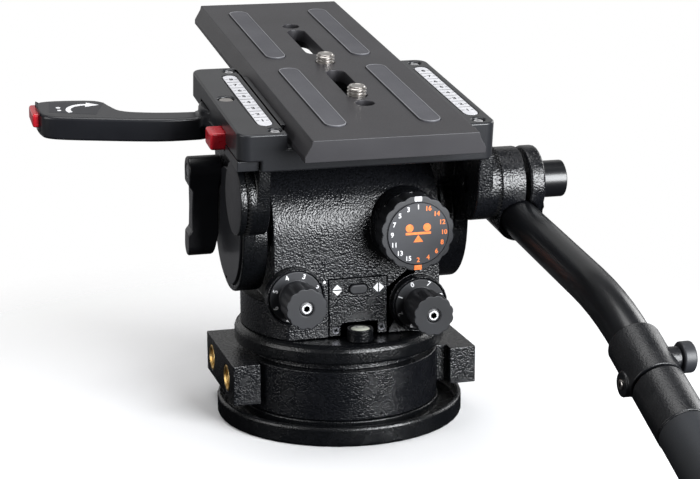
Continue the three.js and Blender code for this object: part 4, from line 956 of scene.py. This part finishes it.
def loops_bridged(loops):
    """A closed tube through loops of points, the last of which joins the first again."""
    bm = bmesh.new()
    rings = []
    for points in loops:
        verts = [bm.verts.new(point) for point in points]
        rings.append([bm.edges.new((verts[i - 1], verts[i])) for i in range(len(verts))])
    for i in range(len(rings)):
        bmesh.ops.bridge_loops(bm, edges=rings[i - 1] + rings[i])
    bmesh.ops.recalc_face_normals(bm, faces=bm.faces)
    return bm


def lip(outer, inner, bottom, top):
    """A closed frame between two outlines that have the same number of points."""
    corners = ((outer, bottom), (outer, top), (inner, top), (inner, bottom))
    return loops_bridged([[(x, y, z) for x, y in line] for line, z in corners])


lips = []
for side in ("left", "right"):
    for end in ("rear", "front"):
        low, high = span(f"plate_pad_{side}_{end}", TILT)
        outside = stadium(low, high, LIP_INSET)
        inside = stadium(low, high, LIP_INSET + LIP_WIDTH)
        lips.append((lip(outside, inside, high.z - LIP_SUNK, high.z + LIP_RISE), IN_PLACE))
as_piece("pad_lips", join_all(lips), "plate", lip_rubber_painted_highlight, TILT, smooth_angle=30)
print("pad lips:", len(lips))

# %% [markdown]
# ## The sign on the release lever
# The lever's hand pad carries a thin label with a white arrow that shows which way to pull.
# The arrow is a bent bar, an arc out and a smaller arc back, with a triangle at its end.


# %% Lever sign
LEVER_TOP, LABEL = 56.9, 0.05                   # the height above the tilt axis, the thickness
ARC_OUTSIDE, ARC_INSIDE = 9.4, 7
ARC_START, ARC_END, ARC_STEPS = 205, 79, 14     # degrees, from the arrow's tail to its head
label_line = [(-142, 41), (-115, 36.5), (-121.5, 17), (-144, 24.5)]
as_piece("lever_label", flat_shape(label_line, LABEL), "lever", lever_label_paint,
         TILT @ moved(0, 0, LEVER_TOP))
turns = [math.radians(ARC_START + (ARC_END - ARC_START) / ARC_STEPS * i)
         for i in range(ARC_STEPS + 1)]
arc = [(ARC_OUTSIDE * math.cos(turn), ARC_OUTSIDE * math.sin(turn)) for turn in turns]
arc += [(ARC_INSIDE * math.cos(turn), ARC_INSIDE * math.sin(turn)) for turn in turns[::-1]]
middle = (ARC_OUTSIDE + ARC_INSIDE) / 2
arrow = [(flat_shape(arc), IN_PLACE),
         (triangle(7, 6.5), turned("Z", ARC_END) @ moved(middle, 0, 0) @ turned("Z", 180)),
         (round_dot(1.2), moved(-12.6, 5, 0)), (round_dot(1), moved(-12.6, 0.5, 0))]
as_piece("lever_sign", join_all(arrow), "lever", white_ink,
         TILT @ moved(-126, 26, LEVER_TOP + LABEL))
print("lever sign made")

# %% [markdown]
# ## Toothed rosettes
# The handle is held on a rosette: two rings of radial teeth that mesh, so that it can't slip.
# From the side, all that shows of the joint is a dark zigzag gap round the boss. It is a black
# ribbon of painted shade that runs round in steps, one way for each flank of a tooth.


# %% Zigzag gap
ROSETTE_Y, ROSETTE_Z = -46.2, 31.4
GAP_RADIUS, GAP_WIDTH, RIBBON = 18.26, 0.9, 0.3
TEETH, TOOTH_DEPTH = 48, 2.0


def zigzag_gap(middle):
    """A closed ribbon of painted shade round the Z axis that goes up and down by the depth of a
    tooth.
    """
    loops = []
    for radius, side in ((GAP_RADIUS, -1), (GAP_RADIUS, 1),
                         (GAP_RADIUS - RIBBON, 1), (GAP_RADIUS - RIBBON, -1)):
        loop = []
        for i in range(TEETH * 2):
            turn = math.pi * i / TEETH
            z = middle + (TOOTH_DEPTH / 2 if i % 2 else -TOOTH_DEPTH / 2) + side * GAP_WIDTH / 2
            loop.append((radius * math.cos(turn), radius * math.sin(turn), z))
        loops.append(loop)
    return loops_bridged(loops)


rosette = TILT @ moved(0, ROSETTE_Y, ROSETTE_Z)
for side, turn, middle in (("right", TO_RIGHT, 63.8), ("left", TO_LEFT, 61.4)):
    # painted shade: a black ribbon stands for the dark in the gap between the teeth
    as_piece("rosette_gap_shade_" + side, zigzag_gap(middle), "tilt", gap_painted_shade, rosette @ turn,
             smooth_angle=20)
low, high = span("rosette_cap", TILT)
cap_face = spun([(0, -0.1), (17.3, -0.1), (17.3, 0.06), (17.1, 0.12), (0, 0.12)], 64)
as_piece("rosette_cap_face", cap_face, "tilt", moulded_grey,
         rosette @ moved(low.x, 0, 0) @ TO_LEFT, smooth_angle=40)
print("rosette gaps: 2")

# %% [markdown]
# ## Small screws on the handle
# The lock knob is pulled up by a socket screw, the collar's lug has another, and the rubber
# grip ends in a thin lip where it meets its tube.

# %% Handle details
low, high = span("handle_lock_knob")
centre = (low + high) / 2
knob_screw = socket_screw(head=4.9, height=1.6, socket=2.4, depth=1.3, chamfer=0.3)
as_piece("lock_knob_screw", knob_screw, "handle_knob", blackened,
         HEAD @ moved(high.x - 2.0, centre.y, centre.z) @ TO_RIGHT, smooth_angle=30)
low, high = span("grip_collar", GRIP)
lug_screw = socket_screw(head=2.2, height=0.9, socket=1.0, depth=0.6, chamfer=0.3, sides=24)
as_piece("collar_lug_screw", lug_screw, "grip", steel,
         GRIP @ moved(low.x + 0.1, -22.5, -4) @ TO_LEFT, smooth_angle=30)
low, high = span("handle_grip", GRIP)
end_ring = spun([(11.2, -0.45), (11.65, -0.35), (11.75, 0), (11.65, 0.35), (11.2, 0.45)], 48,
                closed=True)
as_piece("grip_lip", end_ring, "grip", satin_paint, GRIP @ moved(0, high.y, 0) @ TO_FRONT)
print("pieces so far:", len(pieces_made))

# %% [markdown]
# ## The stage
# A plain pale floor fades into a white world. Only the camera sees it white: black paint
# would mirror a white floor and turn grey, so for reflections it is dark, with painted light
# behind the head, where the left faces of the head mirror it.

# %% Floor
FLOOR_HALF, FLOOR_FRONT = 4, -0.36      # metres. The floor ends in front, where it has faded
stage_mesh = bmesh.new()
bmesh.ops.create_grid(stage_mesh, x_segments=1, y_segments=1, size=FLOOR_HALF)
bmesh.ops.translate(stage_mesh, verts=stage_mesh.verts, vec=(0, FLOOR_FRONT + FLOOR_HALF, 0))
floor_data = bpy.data.meshes.new("floor")
stage_mesh.to_mesh(floor_data)
stage_mesh.free()
floor = new_object("floor", floor_data)
print("floor laid")

# %% [markdown]
# The floor's shader asks whether a ray comes from the camera. Only for such a ray is the floor
# white, and clear where it has faded out. All other rays see the dark grey, and behind the head
# a brighter grey that is painted light.

# %% The look of the floor
FADE_FROM, FADE_TO = 0.12, 0.34         # metres from the pan axis
PAINTED_LIGHT_FROM, PAINTED_LIGHT_TO = 0.05, 0.35         # metres behind it, from dark to the bright painted light
floor_material, floor_tree, floor_shader = new_surface("studio_floor", Roughness=0.9,
                                                       Specular_IOR_Level=0.0)
here = node(floor_tree, "ShaderNodeTexCoord").outputs["Object"]
far = node(floor_tree, "ShaderNodeVectorMath", {0: here}, operation="LENGTH").outputs["Value"]
fade = spread(floor_tree, far, 0, 1, FADE_FROM, FADE_TO)
eye = node(floor_tree, "ShaderNodeLightPath").outputs["Is Camera Ray"]
behind_head = node(floor_tree, "ShaderNodeSeparateXYZ", {0: here}).outputs["Y"]
painted_light_behind = spread(floor_tree, behind_head, 0, 1, PAINTED_LIGHT_FROM, PAINTED_LIGHT_TO)
# painted light: for other rays the floor's colour brightens behind the head
reflected_floor_and_painted_light = blend(floor_tree, painted_light_behind, linear("#1A1A1B"), linear("#8A8A8C"))
shade = blend(floor_tree, eye, reflected_floor_and_painted_light, linear("#F4F4F5"))
floor_tree.links.new(shade, floor_shader.inputs["Base Color"])
clear = node(floor_tree, "ShaderNodeBsdfTransparent")
gone = node(floor_tree, "ShaderNodeMath", {0: fade, 1: eye}, operation="MULTIPLY")
faded = node(floor_tree, "ShaderNodeMixShader", {
    0: gone.outputs[0], 1: floor_shader.outputs["BSDF"], 2: clear.outputs["BSDF"]})
sink = [n for n in floor_tree.nodes if n.bl_idname == "ShaderNodeOutputMaterial"][0]
floor_tree.links.new(faded.outputs["Shader"], sink.inputs["Surface"])
floor_data.materials.append(floor_material)
print("floor made of", len(floor_tree.nodes), "nodes")

# %% [markdown]
# ## The world
# The world is white to the camera and through clear parts. It lights the head only weakly,
# because the lamps do that work.

# %% World
AMBIENT = 0.06                  # the light that the world gives to the head
world = bpy.data.worlds.new("studio")
bpy.context.scene.world = world
world.use_nodes = True
tree = world.node_tree
tree.nodes.clear()
path = node(tree, "ShaderNodeLightPath")
seen = node(tree, "ShaderNodeMath", {0: path.outputs["Is Camera Ray"],
                                     1: path.outputs["Is Transmission Ray"]}, operation="MAXIMUM")
strength = node(tree, "ShaderNodeMath", {0: seen.outputs[0], 1: AMBIENT}, operation="MAXIMUM")
light = node(tree, "ShaderNodeBackground", {"Strength": strength.outputs[0]})
light.inputs["Color"].default_value = (1, 1, 1, 1)
node(tree, "ShaderNodeOutputWorld", {"Surface": light.outputs["Background"]})
print("world:", world.name)

# %% [markdown]
# ## The lamps
# They are large and soft, as in a product studio. The broad one at the front right draws the
# highlight on the drum and the ring. One hangs overhead. One stands high behind the head, where
# the tops of the plate and the levers mirror it, and a low one behind on the left does the same
# for the flanks. Weak ones at the left and at the back right fill the shadows.


# %% Lamps
HEAD_MIDDLE, WHITE, COOL_WHITE = Vector((0, -0.03, 0.1)), (1, 1, 1), (0.96, 0.98, 1.0)


def soft_lamp(name, place, size, power, colour=WHITE):
    """A lamp that looks at the head's middle: place and size in metres, power in watts."""
    lamp = bpy.data.lights.new(name, "AREA")
    lamp.shape = "RECTANGLE"
    lamp.size, lamp.size_y = size
    lamp.energy = power
    lamp.color = colour
    holder = new_object(name, lamp)
    holder.location = place
    aim = HEAD_MIDDLE - Vector(place)
    holder.rotation_euler = aim.to_track_quat("-Z", "Y").to_euler()
    holder.visible_camera = False


soft_lamp("overhead", (-0.1, -0.1, 1.3), (1.0, 0.8), 9.5)
soft_lamp("front_right", (0.577, -1.133, 0.4), (0.85, 0.78), 44, COOL_WHITE)
soft_lamp("behind", (0, 1.8, 0.95), (3.0, 1.4), 6.6)
soft_lamp("left_fill", (-1.15, -0.3, 0.42), (0.7, 0.8), 6)
soft_lamp("low_behind_left", (-0.5, 1.5, 0.16), (1.1, 0.3), 0.6)
soft_lamp("back_right", (1.25, 0.55, 0.55), (0.8, 0.8), 8)

# %% [markdown]
# ## The camera
# The photograph's camera was worked out from the plate, the dials and the base: a long lens
# from the front left, a little above the head. Its lens is given as the focal length in pixels
# of a picture 700 pixels wide.

# %% Camera
WIDE = 700                                      # pixels
FOCAL_PIXELS = 1825.9
AZIMUTH, ELEVATION, ROLL = -15.75, 13.6, -0.22  # degrees
CAMERA_PLACE = (-0.2434, -0.8853, 0.3127)       # metres
SENSOR = 36                                     # millimetres
camera_data = bpy.data.cameras.new("camera")
camera_data.sensor_width = SENSOR
camera_data.lens = SENSOR * FOCAL_PIXELS / WIDE
camera = new_object("camera", camera_data)
a, e, r = (math.radians(v) for v in (AZIMUTH, ELEVATION, ROLL))
back = Vector((math.sin(a) * math.cos(e), -math.cos(a) * math.cos(e), math.sin(e)))
right = Vector((math.cos(a), math.sin(a), 0))
up = back.cross(right)
level_right = math.cos(r) * right + math.sin(r) * up
level_up = -math.sin(r) * right + math.cos(r) * up
rotation = Matrix((level_right, level_up, back)).transposed().to_4x4()
camera.matrix_world = Matrix.Translation(CAMERA_PLACE) @ rotation
bpy.context.scene.camera = camera
bpy.context.scene.view_settings.view_transform = "Standard"
print("lens:", round(camera_data.lens, 1), "mm")

# %% [markdown]
# ## The count of pieces
# The finished head must fill the same box as the CAD solids. The last cell prints how many
# pieces were made.

# %% Count the pieces
print("pieces:", len(pieces_made))
